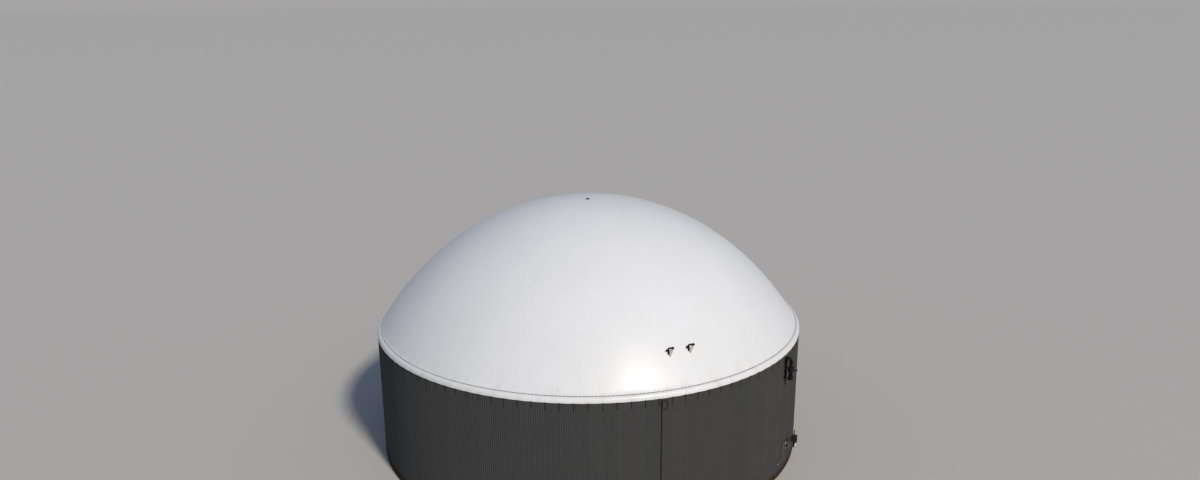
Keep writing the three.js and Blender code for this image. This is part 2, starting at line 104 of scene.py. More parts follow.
# %% [markdown]
# ## Colours and nodes
# Colours are read from pictures as sRGB hex values, while a shader works in linear light, so one function
# turns the one into the other. Another small function adds a node, sets it, fills its inputs and links it
# on, and gives back the output that the next node needs. Every finish below is built with it alone. Its
# inputs are a list. A table says which sockets the list fills, and other nodes take it from the top: for
# Map Range that is the value, the low and high end it comes from, and the low and high end it goes to.

# %% Helpers for colours and nodes
MIX_OUTPUT = 2
IN_ORDER = {
    "Mix": (0, 6, 7), "Mapping": ("Vector", "Scale"), "VectorRotate": ("Vector", "Angle"),
    "TexNoise": ("Vector", "Scale", "Detail", "Roughness"), "TexVoronoi": ("Vector", "Scale"),
    "TexWave": ("Vector", "Scale"), "TexWhiteNoise": ("W",), "Bump": ("Height", "Distance", "Strength")}


def linear(code):
    """Turns an sRGB hex colour into the linear colour that a shader takes."""
    shares = [int(code[i:i + 2], 16) / 255 for i in (1, 3, 5)]
    return (*[s / 12.92 if s <= 0.04045 else ((s + 0.055) / 1.055) ** 2.4 for s in shares], 1)


def add_node(tree, kind, inputs=(), output=0, feeds=None, **settings):
    """Adds a node. Its inputs are numbers, hex colours or other nodes' outputs, and it may feed a socket."""
    made = tree.nodes.new("ShaderNode" + kind)
    if kind == "Mix":
        made.data_type, output = "RGBA", MIX_OUTPUT
    for name, value in settings.items():
        setattr(made, name, value)
    for name, value in zip(IN_ORDER.get(kind, range(len(inputs))), inputs):
        if isinstance(value, bpy.types.NodeSocket):
            tree.links.new(value, made.inputs[name])
        else:
            made.inputs[name].default_value = linear(value) if isinstance(value, str) else value
    if feeds:
        tree.links.new(made.outputs[output], feeds)
    return made.outputs[output]


def new_material(name, **constants):
    """Starts a material, and gives it with its own add_node, its shader's sockets and its coordinates."""
    material = bpy.data.materials.new(name)
    material.use_nodes = True
    tree = material.node_tree
    sockets = tree.nodes["Principled BSDF"].inputs
    for socket, value in constants.items():
        sockets[socket.replace("_", " ")].default_value = linear(value) if isinstance(value, str) else value
    return material, partial(add_node, tree), sockets, add_node(tree, "TexCoord", output="Object")


print("colour test:", [round(v, 3) for v in linear("#808080")])

# %% [markdown]
# ## Floor and light
# A plain pale floor runs far out and rises gently at its rim, which hides the horizon. The picture was lit
# by a sun from the front right, 41 degrees up, which the highlight on the dome gives away. A sun lamp with
# a wide angle gives that direction with the soft shadow edges of a studio. A much wider and weaker one
# fills from the front, and a pale blue world lights the shade. The view transform is Standard, so that
# white cloth in full light comes out as white, as it does in the picture.

# %% Lay the floor and hang the lights
FLOOR_RADIUS = 20000
RIM_WIDTH = 8000
RIM_HEIGHT = 260
WORLD_STRENGTH = 0.345

bpy.ops.mesh.primitive_circle_add(vertices=128, radius=FLOOR_RADIUS, fill_type="NGON", location=(0, 0, 0))
floor = bpy.context.object
floor.name = "floor"
bpy.ops.object.mode_set(mode="EDIT")
bpy.ops.mesh.select_all(action="SELECT")
bpy.ops.mesh.inset(thickness=RIM_WIDTH, depth=0)
bpy.ops.object.mode_set(mode="OBJECT")
for vertex in floor.data.vertices:
    if vertex.co.xy.length > FLOOR_RADIUS - 1:
        vertex.co.z = RIM_HEIGHT
floor.data.materials.append(new_material("pale_floor_paint", Roughness=0.9, Base_Color="#c2c0ba")[0])
floor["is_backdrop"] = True


def hang_sun(name, bearing, height, energy, spread, colour):
    """A sun lamp from a bearing right of the front and a height, in degrees."""
    bpy.ops.object.light_add(type="SUN")
    lamp = bpy.context.object
    lamp.name = name
    lamp.data.energy = energy
    lamp.data.angle = radians(spread)
    lamp.data.color = linear(colour)[:3]
    lamp.matrix_world = swing(bearing) @ swing(90 - height, "X")


hang_sun("key", 31.5, 41, 2.54, 7, "#fff6ea")
hang_sun("fill", 18, 18, 0.30, 60, "#fbfaff")
world = bpy.data.worlds.new("studio")
world.use_nodes = True
background = world.node_tree.nodes["Background"]
background.inputs["Color"].default_value = linear("#a9bee6")
background.inputs["Strength"].default_value = WORLD_STRENGTH
bpy.context.scene.world = world
bpy.context.scene.view_settings.view_transform = "Standard"

# %% [markdown]
# ## Finish: coated membrane fabric
# The dome is polyester cloth coated with white PVC and a thin satin lacquer. It is smooth and a little
# shiny, so it shows a soft highlight. Dust lies on it in very faint runs that follow the rain downhill, and
# the cloth between two seams is not perfectly even. The weave is finer than any view here can show.

# %% Coated membrane fabric
membrane_white, node, shader, place = new_material(
    "pvc_coated_polyester_satin", IOR=1.5, Specular_IOR_Level=0.4)
streaks = node("Mapping", [place, (1, 1, 0.15)])
runs = node("TexNoise", [streaks, 1.6, 4.0])
clouds = node("TexNoise", [place, 0.18, 2.0])
clean = node("Mix", [node("MapRange", [clouds, 0.35, 0.65]), "#e9ebec", "#e6e8e8"])
low_down = node("MapRange", [node("SeparateXYZ", [place], "Z"), 8.1, 9.0, 0.45, 0.06])
dust = node("Math", [node("MapRange", [runs, 0.45, 0.75]), low_down], operation="MULTIPLY")
node("Mix", [dust, clean, "#cac7bb"], feeds=shader["Base Color"])
node("MapRange", [runs, 0, 1, 0.33, 0.38], feeds=shader["Roughness"])
unevenness = node("TexNoise", [place, 0.5, 1.0])
node("Bump", [unevenness, 0.010], feeds=shader["Normal"])
print("material:", membrane_white.name)

# %% [markdown]
# ## Finish: coated ribbed sheet
# The wall sheet is cold rolled steel, galvanised and then coil coated in anthracite polyester. The coating
# is even, with a low sheen. What the eye sees is that no two sheets are quite the same tone, that rain
# leaves faint runs, and that earth splashes up on the lowest half metre. The sheet number comes from the
# angle round the tank, and a random value for each number shifts the tone.

# %% Coated ribbed sheet
RIBS = 684
RIBS_PER_SHEET = 6
SHEETS = RIBS // RIBS_PER_SHEET
SHEET_TURN = 2 * pi / SHEETS
FIRST_LAP = radians(0.47)

sheet_anthracite, node, shader, place = new_material(
    "coil_coated_steel_anthracite", IOR=1.5, Specular_IOR_Level=0.03)
turned_place = node("VectorRotate", [place, pi / 2 - FIRST_LAP], rotation_type="Z_AXIS")
sides = [node("SeparateXYZ", [turned_place], way) for way in "YX"]
angle = node("Math", sides, operation="ARCTAN2")
number = node("Math", [node("Math", [angle, SHEET_TURN], operation="DIVIDE")], operation="FLOOR")
tone = node("Mix", [node("TexWhiteNoise", [number], noise_dimensions="1D"), "#464747", "#494949"])
streaks = node("Mapping", [place, (1, 1, 0.04)])
runs = node("TexNoise", [streaks, 5.0, 4.0])
washed = node("Mix", [node("MapRange", [runs, 0.5, 0.8, 0, 0.2]), tone, "#514f4c"])
blots = node("TexNoise", [place, 3.0, 5.0])
reach = node("Math", [node("SeparateXYZ", [place], "Z"), node("MapRange", [blots, 0.3, 0.7, -0.12, 0.12])])
splash = node("MapRange", [reach, 0.30, 0.70, 0.95, 0.0])
node("Mix", [splash, washed, "#392f24"], feeds=shader["Base Color"])
node("MapRange", [runs, 0, 1, 0.62, 0.76], feeds=shader["Roughness"])
grain = node("TexNoise", [place, 900.0, 1.0])
node("Bump", [grain, 0.00005], feeds=shader["Normal"])
print("material:", sheet_anthracite.name, "for", SHEETS, "sheets")

# %% [markdown]
# ## Finish: galvanised steel
# Brackets, pipes and clamps are dipped in molten zinc. The zinc freezes in spangles, each a slightly
# different grey. Spangles are about 15 mm across, and a Voronoi pattern gives each cell its own tone and
# roughness. Zinc ages too, so there are three: still bright, dulled by the weather, and a weathered dark one
# whose tone is darkened further as painted shade for the rail's channel. They differ only in their tones,
# so one loop builds them.

# %% Galvanised steel
zinc_finishes = []
# The third, darkest tone is weathered zinc darkened further by painted shade, for the rail's channel.
for name, dark, light, dull_tone in (
        ("hot_dip_galvanised_steel", "#a9adae", "#bfc3c4", "#8d9090"),
        ("hot_dip_galvanised_steel_dulled", "#939596", "#a1a3a4", "#808181"),
        ("hot_dip_galvanised_steel_dark_weathered_with_painted_shade", "#4c4c4d", "#59595a", "#3b3a39")):
    material, node, shader, place = new_material(name, Metallic=1.0)
    spangle = node("SeparateColor", [node("TexVoronoi", [place, 65.0], "Color")])
    weather = node("TexNoise", [place, 7.0, 4.0])
    zinc = node("Mix", [spangle, dark, light])
    dull = node("MapRange", [weather, 0.45, 0.75, 0, 0.7])
    node("Mix", [dull, zinc, dull_tone], feeds=shader["Base Color"])
    node("MapRange", [spangle, 0, 1, 0.42, 0.6], feeds=shader["Roughness"])
    node("Bump", [weather, 0.0004], feeds=shader["Normal"])
    zinc_finishes.append(material)
steel_galvanised, steel_dulled, shaded_weathered_zinc = zinc_finishes
print("materials:", *[material.name for material in zinc_finishes])

# %% [markdown]
# ## Finish: black plastics, valve enamel and powder coat
# Gas fittings outdoors are black PE, coloured with soot against sunlight: a waxy, half matt plastic. Cable
# ducts and vent pipes are rigid PVC, which the sun turns a little brown and grey. Valve bodies are cast
# iron under a thick fused epoxy, here a blue so dark that it looks black from afar, and the casting's grain
# shows through its shiny coat. The drive's housing is cast aluminium with a dark grey powder coat, and its
# switch box is folded steel in slate. All five grey with dust where they look up, which the normal's height
# tells.

# %% Black plastics, valve enamel and powder coat
dark_finishes = []
for name, ior, dark, light, dust_tone, gloss, grain, relief in (
        ("polyethylene_black_uv_stable", 1.51, "#060606", "#0b0b0b", "#34322e", (0.5, 0.72), 300.0, 0.0001),
        ("rigid_pvc_black_weathered", 1.53, "#1c1a19", "#252321", "#3a3833", (0.5, 0.7), 260.0, 0.0001),
        ("fused_epoxy_on_cast_iron_blue_black", 1.55, "#0a0a11", "#11111b", "#3a3833", (0.4, 0.58), 180.0,
         0.0006),
        ("powder_coat_on_cast_aluminium_dark_grey", 1.5, "#272627", "#302f31", "#454340", (0.45, 0.6), 240.0,
         0.0003),
        ("powder_coat_on_sheet_steel_slate", 1.5, "#34353d", "#3c3d46", "#4c4b48", (0.45, 0.6), 240.0,
         0.0002)):
    material, node, shader, place = new_material(name, IOR=ior, Specular_IOR_Level=0.22)
    haze = node("TexNoise", [place, 12.0, 5.0])
    body = node("Mix", [haze, dark, light])
    up = node("SeparateXYZ", [node("NewGeometry", output="Normal")], "Z")
    specks = node("TexNoise", [place, 25.0, 4.0])
    settled = node("Math", [node("MapRange", [up, 0.35, 1, 0, 0.15]),
                            node("MapRange", [specks, 0.3, 0.7, 0.3])], operation="MULTIPLY")
    node("Mix", [settled, body, dust_tone], feeds=shader["Base Color"])
    node("MapRange", [haze, 0, 1, *gloss], feeds=shader["Roughness"])
    pores = node("TexNoise", [place, grain, 2.0])
    node("Bump", [pores, relief], feeds=shader["Normal"])
    dark_finishes.append(material)
plastic_black, pvc_black, enamel_dark, coat_dark_grey, coat_slate = dark_finishes
print("materials:", *[material.name for material in dark_finishes])

# %% [markdown]
# ## Finish: pale sleeve cloth
# The sleeves on the dome are coated cloth too, but hand welded and tied, so they are greyer and more matt
# than the membrane. Their weave is about 1 mm, drawn here at 6 mm so that it shows in a close view.

# %% Pale sleeve cloth
cloth_pale, node, shader, place = new_material("coated_sleeve_cloth_pale_grey", IOR=1.48)
stains = node("TexNoise", [place, 9.0, 4.0])
node("Mix", [node("MapRange", [stains, 0.35, 0.7]), "#edece7", "#d2cfc5"], feeds=shader["Base Color"])
node("MapRange", [stains, 0, 1, 0.5, 0.75], feeds=shader["Roughness"])
threads = [node("TexWave", [place, 52.0], "Fac", bands_direction=way) for way in "ZX"]
weave = node("Math", threads, operation="MAXIMUM")
node("Bump", [weave, 0.0005, 0.6], feeds=shader["Normal"])
print("material:", cloth_pale.name)

# %% [markdown]
# ## Finish: cast concrete
# Wall and slab are cast in steel formwork. Concrete is grey with lighter and darker clouds, and small air
# bubbles leave pits. Earth has stained the lowest part dark brown, and painted shade from the sheet's
# overhang darkens it further.

# %% Cast concrete
concrete_grey, node, shader, place = new_material("cast_concrete_grey", IOR=1.5)
clouds = node("TexNoise", [place, 1.3, 6.0, 0.6])
body = node("Mix", [node("MapRange", [clouds, 0.3, 0.7]), "#8f8b84", "#75716a"])
# Dark brown at the foot, fading out by 0.4 m: earth stain plus painted shade under the sheet's overhang.
earth_stain_and_shade = node("MapRange", [node("SeparateXYZ", [place], "Z"), 0.2, 0.4, 0.95, 0.0])
node("Mix", [earth_stain_and_shade, body, "#31271c"], feeds=shader["Base Color"])
node("MapRange", [clouds, 0, 1, 0.8, 0.95], feeds=shader["Roughness"])
pits = node("MapRange", [node("TexVoronoi", [place, 40.0], "Distance"), 0.05, 0.3])
node("Bump", [pits, 0.002], feeds=shader["Normal"])
print("material:", concrete_grey.name)

# %% [markdown]
# ## Finish: white paint on steel, black webbing and rubber
# The blind flange, the cabinet, the rail's saddles and the studs have a thick white paint with a little
# grime. Straps are black polyester webbing with ribs 8 mm apart, and the hose under the saddles is black
# rubber with a grey bloom. Both are matt, and one differs from the other in its ribs.

# %% White paint, webbing and rubber
paint_white, node, shader, place = new_material("white_paint_on_steel", IOR=1.5)
grime = node("TexNoise", [place, 14.0, 5.0])
node("Mix", [node("MapRange", [grime, 0.5, 0.8]), "#dededb", "#a7a299"], feeds=shader["Base Color"])
node("MapRange", [grime, 0, 1, 0.35, 0.6], feeds=shader["Roughness"])
orange_peel = node("TexNoise", [place, 220.0, 1.0])
node("Bump", [orange_peel, 0.0002], feeds=shader["Normal"])

webbing_black, node, shader, place = new_material("polyester_webbing_black", Roughness=0.85, IOR=1.45)
ribs = node("TexWave", [place, 40.0], "Fac", bands_direction="Z")
node("Mix", [ribs, "#1f1f20", "#29292a"], feeds=shader["Base Color"])
node("Bump", [ribs, 0.0008], feeds=shader["Normal"])

rubber_black, node, shader, place = new_material("epdm_rubber_black", IOR=1.52)
bloom = node("TexNoise", [place, 6.0, 5.0])
node("Mix", [bloom, "#141414", "#232322"], feeds=shader["Base Color"])
node("MapRange", [bloom, 0, 1, 0.6, 0.8], feeds=shader["Roughness"])
print("materials:", paint_white.name, webbing_black.name, rubber_black.name)

# %% [markdown]
# ## Which slot a finish belongs to
# The record of the solids has seven material slots. Each finish refines one of them, and a table says which
# it is.

# %% Slots of the finishes
SLOT_OF = {
    concrete_grey: "concrete", sheet_anthracite: "cladding", membrane_white: "membrane",
    cloth_pale: "sleeve", paint_white: "white_paint", **dict.fromkeys(zinc_finishes, "galvanised"),
    **dict.fromkeys([*dark_finishes, webbing_black, rubber_black], "black_plastic")}
print("finishes:", len(SLOT_OF), "slots:", sorted(set(SLOT_OF.values())))

# %% [markdown]
# ## Working in edit mode
# Every new piece below starts as a primitive and is shaped with the same operators that a hand would use.
# An operator acts on whatever is selected. So the first helpers select whole objects, open an object in
# edit mode, select the vertices, edges or faces that pass a test, and close the object again.

# %% Helpers for selecting
MERGE_DISTANCE = 0.00002
FACING = 0.9


def pick(*pieces):
    """Selects these objects and nothing else, and makes the last one active."""
    if bpy.context.object and bpy.context.object.mode != "OBJECT":
        bpy.ops.object.mode_set(mode="OBJECT")
    bpy.ops.object.select_all(action="DESELECT")
    for piece in pieces:
        piece.select_set(True)
        bpy.context.view_layer.objects.active = piece


def choose(piece, test, kind="VERT"):
    """In edit mode, selects the vertices, edges or faces that pass a test."""
    bpy.ops.mesh.select_mode(type=kind)
    bpy.ops.mesh.select_all(action="DESELECT")
    mesh = bmesh.from_edit_mesh(piece.data)
    for part in {"VERT": mesh.verts, "EDGE": mesh.edges, "FACE": mesh.faces}[kind]:
        if test(part):
            part.select_set(True)
    mesh.select_flush_mode()
    bmesh.update_edit_mesh(piece.data)


def open_mesh(piece):
    """Bakes an object's place into its mesh and opens it in edit mode with all of it selected."""
    pick(piece)
    bpy.ops.object.transform_apply(location=True, rotation=True, scale=True)
    bpy.ops.object.mode_set(mode="EDIT")
    bpy.ops.mesh.select_all(action="SELECT")
    return piece


def close_mesh(piece, turn_out=True):
    """Merges doubles, turns the faces out and leaves edit mode."""
    bpy.ops.mesh.select_mode(type="VERT")
    bpy.ops.mesh.select_all(action="SELECT")
    bpy.ops.mesh.remove_doubles(threshold=MERGE_DISTANCE)
    if turn_out:
        bpy.ops.mesh.normals_make_consistent(inside=False)
    bpy.ops.object.mode_set(mode="OBJECT")
    return piece


print("helpers ready, mode:", bpy.context.mode)

# %% [markdown]
# ## Shaping
# Six moves come up again and again: inset some faces, move some points, extrude, place a finished mesh,
# apply a modifier, and join. Each is only a few operators long, but with a name of its own it lets a cell
# below say what it does to a piece.

# %% Helpers for shaping
def inset_faces(piece, test, *insets):
    """Insets the faces that pass a test, by one thickness and depth after another."""
    open_mesh(piece)
    choose(piece, test, "FACE")
    for thickness, depth in insets:
        bpy.ops.mesh.inset(thickness=thickness, depth=depth)
    return close_mesh(piece)


def move_points(piece, test, move):
    """Moves the vertices that pass a test."""
    open_mesh(piece)
    choose(piece, test)
    bpy.ops.transform.translate(value=move)
    return close_mesh(piece)


def extrude(move):
    """Extrudes what is selected."""
    bpy.ops.mesh.extrude_region_move(TRANSFORM_OT_translate={"value": move})


def placed(piece, place):
    """Bakes a place into a mesh that has been closed."""
    pick(piece)
    piece.matrix_world = place
    bpy.ops.object.transform_apply(location=True, rotation=True, scale=True)
    return piece


def modify(piece, kind, **settings):
    """Adds a modifier and applies it."""
    pick(piece)
    made = piece.modifiers.new(kind.lower(), kind)
    for name, value in settings.items():
        setattr(made, name, value)
    bpy.ops.object.modifier_apply(modifier=made.name)
    return piece


def join(*pieces):
    """Joins meshes into one object."""
    pick(*pieces)
    if len(pieces) > 1:
        bpy.ops.object.join()
    return bpy.context.object


print("helpers ready for insets, moves, modifiers and joins")

# %% [markdown]
# ## Turned parts
# Much of the tank is round. A cylinder or a cone would do for a plain step, but a turned part has grooves,
# flanges and chamfers too. So it is an outline that starts as one point, is extruded point by point and is
# then spun about an axis. Two outlines come often and get a function: a disc and a round section.

# %% Helpers for turned parts
def first_point(place):
    """A mesh of one vertex, open in edit mode, made by merging a small plane."""
    bpy.ops.mesh.primitive_plane_add(size=0.01)
    piece = open_mesh(bpy.context.object)
    bpy.ops.mesh.select_mode(type="VERT")
    bpy.ops.mesh.merge(type="CENTER")
    bpy.ops.transform.translate(value=place)
    return piece


def turned(outline, steps=48, closed=False):
    """Spins an outline of (radius, height) points about the Z axis."""
    piece = first_point((outline[0][0], 0, outline[0][1]))
    for (radius, height), (next_radius, next_height) in zip(outline, outline[1:]):
        extrude((next_radius - radius, 0, next_height - height))
    if closed:
        choose(piece, lambda vertex: vertex.index in (0, len(outline) - 1))
        bpy.ops.mesh.edge_face_add()
    bpy.ops.mesh.select_all(action="SELECT")
    bpy.ops.mesh.spin(steps=steps, angle=2 * pi, center=(0, 0, 0), axis=(0, 0, 1))
    return close_mesh(piece)


def disc(radius, low, high, chamfer=0.004):
    """The outline of a disc with chamfered edges."""
    return [(0, low), (radius - chamfer, low), (radius, low + chamfer), (radius, high - chamfer),
            (radius - chamfer, high), (0, high)]


def round_section(middle, height, radius, points):
    """The outline of a round hose or rim."""
    return [(middle + radius * cos(2 * pi * i / points), height + radius * sin(2 * pi * i / points))
            for i in range(points)]


print("helpers ready for turned parts")

# %% [markdown]
# ## Pipes and blocks
# A curve with a bevel would make a pipe as well, but a mesh can be joined to other parts. So a pipe is a
# ring that is extruded along each straight and spun round each corner. A block is a cube with its edges
# bevelled, because no real edge is perfectly sharp, and its front may be inset and lifted into a lid.

# %% Helpers for pipes and blocks
LID_SLOPE = 0.002


def pipe(route, radius, bend=0.0, sides=20, steps=8):
    """A round bar along straight runs, with its corners bent to a radius and its ends closed."""
    points = [Vector(point) for point in route]
    heading = (points[1] - points[0]).normalized()
    bpy.ops.mesh.primitive_circle_add(
        vertices=sides, radius=radius, location=points[0],
        rotation=heading.to_track_quat("Z", "Y").to_euler())
    piece = open_mesh(bpy.context.object)
    here = points[0]
    for corner, after in zip(points[1:], points[2:]):
        leaving = (after - corner).normalized()
        angle = heading.angle(leaving)
        reach = bend * tan(angle / 2)
        start = corner - heading * reach
        inward = (leaving - heading * leaving.dot(heading)).normalized()
        extrude(start - here)
        bpy.ops.mesh.spin(
            steps=steps, angle=-angle, center=start + inward * bend, axis=heading.cross(leaving))
        here = corner + leaving * reach
        heading = leaving
    extrude(points[-1] - here)
    bpy.ops.mesh.select_all(action="SELECT")
    bpy.ops.mesh.fill_holes(sides=0)
    return close_mesh(piece)


def block(low, high, bevel=0.004, segments=2):
    """A cuboid between two corners, with rounded edges."""
    middle = [(a + b) / 2 for a, b in zip(low, high)]
    bpy.ops.mesh.primitive_cube_add(size=1, location=middle)
    piece = bpy.context.object
    piece.scale = [b - a for a, b in zip(low, high)]
    open_mesh(piece)
    bpy.ops.mesh.bevel(offset=bevel, segments=segments, affect="EDGES")
    return close_mesh(piece)


def lidded_block(low, high, rim, lift, edge=0.002, segments=1):
    """A block with rounded edges, whose front face is inset by a rim and pulled out, as a lid."""
    return inset_faces(
        block(low, high, edge, segments),
        lambda face: face.normal.y < -FACING and face.calc_area() > 0.001, (rim, 0), (LID_SLOPE, lift))


def soften(piece, width=0.003, segments=2):
    """Rounds the sharp edges of a pipe's ends."""
    return modify(piece, "BEVEL", width=width, segments=segments, limit_method="ANGLE")


print("helpers ready for pipes and blocks")

# %% [markdown]
# ## Bolts and what repeats
# What repeats round the tank is made once and arrayed about the middle, with an empty that says how far one
# step turns. A bolt appears hundreds of times, so it has few faces: a washer of eight sides with its edge
# inset, and a hexagon head with a dished top.

# %% Helpers for bolts and for what repeats
def array_round(piece, count, merge=False):
    """Repeats a piece all round the Z axis."""
    bpy.ops.object.empty_add(location=(0, 0, 0))
    step = bpy.context.object
    step.rotation_euler.z = 2 * pi / count
    modify(piece, "ARRAY", count=count, use_relative_offset=False, use_object_offset=True,
           offset_object=step, use_merge_vertices=merge, use_merge_vertices_cap=merge,
           merge_threshold=0.0004)
    bpy.data.objects.remove(step)
    return piece


def array_up(piece, count, step):
    """Repeats a piece upwards."""
    return modify(piece, "ARRAY", count=count, use_relative_offset=False, use_constant_offset=True,
                  constant_offset_displace=(0, 0, step))


def bolt(size, place=(0, 0, 0)):
    """A hexagon head on a washer, standing up on its seat, for a thread of a given diameter."""
    x, y, z = place
    parts = []
    for sides, radius, depth, rise, inset, dish in (
            (8, 1, 0.25, 0.125, 0.12, 0), (6, 0.86, 0.6, 0.54, 0.14, 0.08)):
        bpy.ops.mesh.primitive_cylinder_add(
            vertices=sides, radius=size * radius, depth=size * depth, location=(x, y, z + size * rise))
        parts.append(inset_faces(
            bpy.context.object, lambda face: face.normal.z > FACING, (size * inset, size * dish)))
    return join(*parts)


def bolt_circle(count, radius, height, size):
    """A ring of bolts about the Z axis."""
    return array_round(bolt(size, (radius, 0, height)), count)


print("helpers ready for bolts and rings")

# %% [markdown]
# ## Places on the tank
# Wall fittings sit on the flat facets of the tank's solids, so a place on the wall is a bearing from the
# front, in degrees to the right, and a height. There +X runs along the wall to the right and -Y points away
# from it. On the dome a place follows the curve of the membrane, whose formula is repeated here from the
# solid's own sizes.

# %% Sizes and places
CREST_RADIUS = 13.780
CLADDING_FOOT = 0.150
CLADDING_TOP = 8.015
WALL_RADIUS = 13.640
WALL_HEAD = 8.260
FACET = 5
SEAT_GAP = 0.0003
APOTHEM = CREST_RADIUS * cos(radians(FACET / 2)) + SEAT_GAP
LIP_RADIUS = cad_high.x
DOME_FOOT = (13.552, 8.298)
APEX_HEIGHT = 16.050
DOME_FULLNESS = 1.0647
DOME_RISE = APEX_HEIGHT - DOME_FOOT[1]
CAP_RADIUS = (DOME_FOOT[0] ** 2 + DOME_RISE ** 2) / (2 * DOME_RISE)
OUTWARD = swing(90, "X")
LAP_TURN = Matrix.Rotation(FIRST_LAP, 4, "Z")


def dome_height(radius):
    """Height of the membrane's outside at a distance from the tank's axis."""
    cap = sqrt(CAP_RADIUS ** 2 - radius ** 2) - (CAP_RADIUS - DOME_RISE)
    return DOME_FOOT[1] + DOME_RISE * (max(cap, 0) / DOME_RISE) ** DOME_FULLNESS


def dome_slope(radius, step=0.01):
    """Angle of the membrane below the level, at a distance from the tank's axis."""
    drop = dome_height(radius - step) - dome_height(radius + step)
    return asin(drop / hypot(drop, 2 * step))


def on_wall(bearing, height=0.0):
    """A frame on the wall."""
    middle = (bearing // FACET + 0.5) * FACET
    along = APOTHEM * tan(radians(bearing - middle))
    return swing(middle) @ shift(along, -APOTHEM, height)


def on_dome(bearing, radius, upright=False):
    """A frame on the membrane, standing square to it, or upright. -Y points downhill."""
    place = swing(bearing) @ shift(0, -radius, dome_height(radius))
    return place if upright else place @ Matrix.Rotation(dome_slope(radius), 4, "X")


print("cap radius:", round(CAP_RADIUS, 3), "slope at the edge:", round(dome_slope(13.4) * 180 / pi, 1))

# %% [markdown]
# ## Settling a piece
# A finished piece is settled: its parts are joined, its place goes into its mesh so that the object itself
# sits at the origin, and it gets its finish. Then it rides with the tank, and the solids it stands for are
# hidden. One function does this for every piece, so none can miss a step.

# %% Helper for settling a piece
def settle(name, parts, material, *stands_for, place=Matrix(), smooth=35):
    """Joins a piece's parts, bakes its place, smooths it, paints it and hands it to the frame."""
    piece = placed(join(*parts) if isinstance(parts, list) else parts, place)
    piece.name = name
    bpy.ops.object.shade_smooth_by_angle(angle=radians(smooth))
    piece.data.materials.clear()
    piece.data.materials.append(material)
    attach(piece, "root")
    if stands_for:
        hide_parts(*stands_for)
    print(f"{piece.name}: {len(piece.data.polygons)} faces")


print("helper ready for settling")

# %% [markdown]
# ## Slab and wall
# The slab and the wall are cast concrete. Little of them shows: the slab's rim below the sheet. The wall
# segments keep their solids, which are already right, and get the concrete finish. The slab is turned
# anew, because its rim is round on the real tank and its top edge is chamfered by the formwork.

# %% Slab and wall
TANK_STEPS = 288
SLAB_THICKNESS = 0.250
CHAMFER = 0.015

slab = turned(disc(WALL_RADIUS, 0, SLAB_THICKNESS, CHAMFER), TANK_STEPS)
settle("foundation_slab", slab, concrete_grey, "floor_slab")
for name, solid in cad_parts.items():
    if name.startswith("tank_wall"):
        solid.data.materials.clear()
        solid.data.materials.append(concrete_grey)

# %% [markdown]
# ## Ribbed sheet
# The wall sheet is trapezoidal profile, six ribs to a sheet, fixed upright. One rib could be drawn by a
# bump map, but the ribs catch the sun and make the wall's fine stripes, so they are real. A strip one rib
# wide is cut from a plane by four bisects, its middle is pulled out, and the strip is arrayed round the
# tank until it closes. Solidify then gives the sheet a thickness.

# %% Ribbed sheet
RIB_DEPTH = 0.022
CREST_WIDTH = 0.020
FLANK_WIDTH = 0.043
SHEET_THICKNESS = 0.002
VALLEY_RADIUS = CREST_RADIUS - RIB_DEPTH


def upright_strip(width, height, radius):
    """A plane that stands at the front of the wall, open in edit mode."""
    bpy.ops.mesh.primitive_plane_add(
        size=1, location=(0, -radius, (CLADDING_FOOT + CLADDING_TOP) / 2), rotation=(pi / 2, 0, 0))
    strip = bpy.context.object
    strip.scale = (width, height, 1)
    return open_mesh(strip)


half_crest = CREST_WIDTH / 2
sheets = upright_strip(2 * VALLEY_RADIUS * tan(pi / RIBS), CLADDING_TOP - CLADDING_FOOT, VALLEY_RADIUS)
for edge in (-half_crest - FLANK_WIDTH, -half_crest, half_crest, half_crest + FLANK_WIDTH):
    bpy.ops.mesh.select_all(action="SELECT")
    bpy.ops.mesh.bisect(plane_co=(edge, 0, 0), plane_no=(1, 0, 0))
choose(sheets, lambda vertex: abs(vertex.co.x) < half_crest + 0.001)
bpy.ops.transform.translate(value=(0, -RIB_DEPTH, 0))
close_mesh(sheets, turn_out=False)
array_round(sheets, RIBS, merge=True)
modify(sheets, "SOLIDIFY", thickness=SHEET_THICKNESS, offset=-1)
settle("ribbed_sheets", sheets, sheet_anthracite, *[f"cladding_{i}" for i in range(1, 9)],
       place=LAP_TURN, smooth=20)

# %% [markdown]
# ## Side laps and screws
# Each sheet's last rib lies over the first rib of the next. That lap shows as a thin raised edge. Screws
# with wide washers hold the sheets to rails behind them, in six rows: one on each lap and one in a valley
# of each sheet. A screw is modelled once with few faces and arrayed round, then up.

# %% Side laps and screws
LAP_LIFT = 0.0015
LAP_SHARE = 0.7
SCREW_SIZE = 0.0085
SCREW_VALLEY = 2.5
SCREW_ROWS = 6
ROW_SPACING = 1.5
FIRST_ROW = 0.25

laps = upright_strip(CREST_WIDTH, CLADDING_TOP - CLADDING_FOOT - 0.004, CREST_RADIUS)
choose(laps, lambda edge: all(vertex.co.x > CREST_WIDTH / 4 for vertex in edge.verts), "EDGE")
extrude((FLANK_WIDTH * LAP_SHARE, RIB_DEPTH * LAP_SHARE, 0))
close_mesh(laps, turn_out=False)
modify(laps, "SOLIDIFY", thickness=LAP_LIFT, offset=1)
settle("sheet_laps", array_round(laps, SHEETS), sheet_anthracite, place=LAP_TURN)

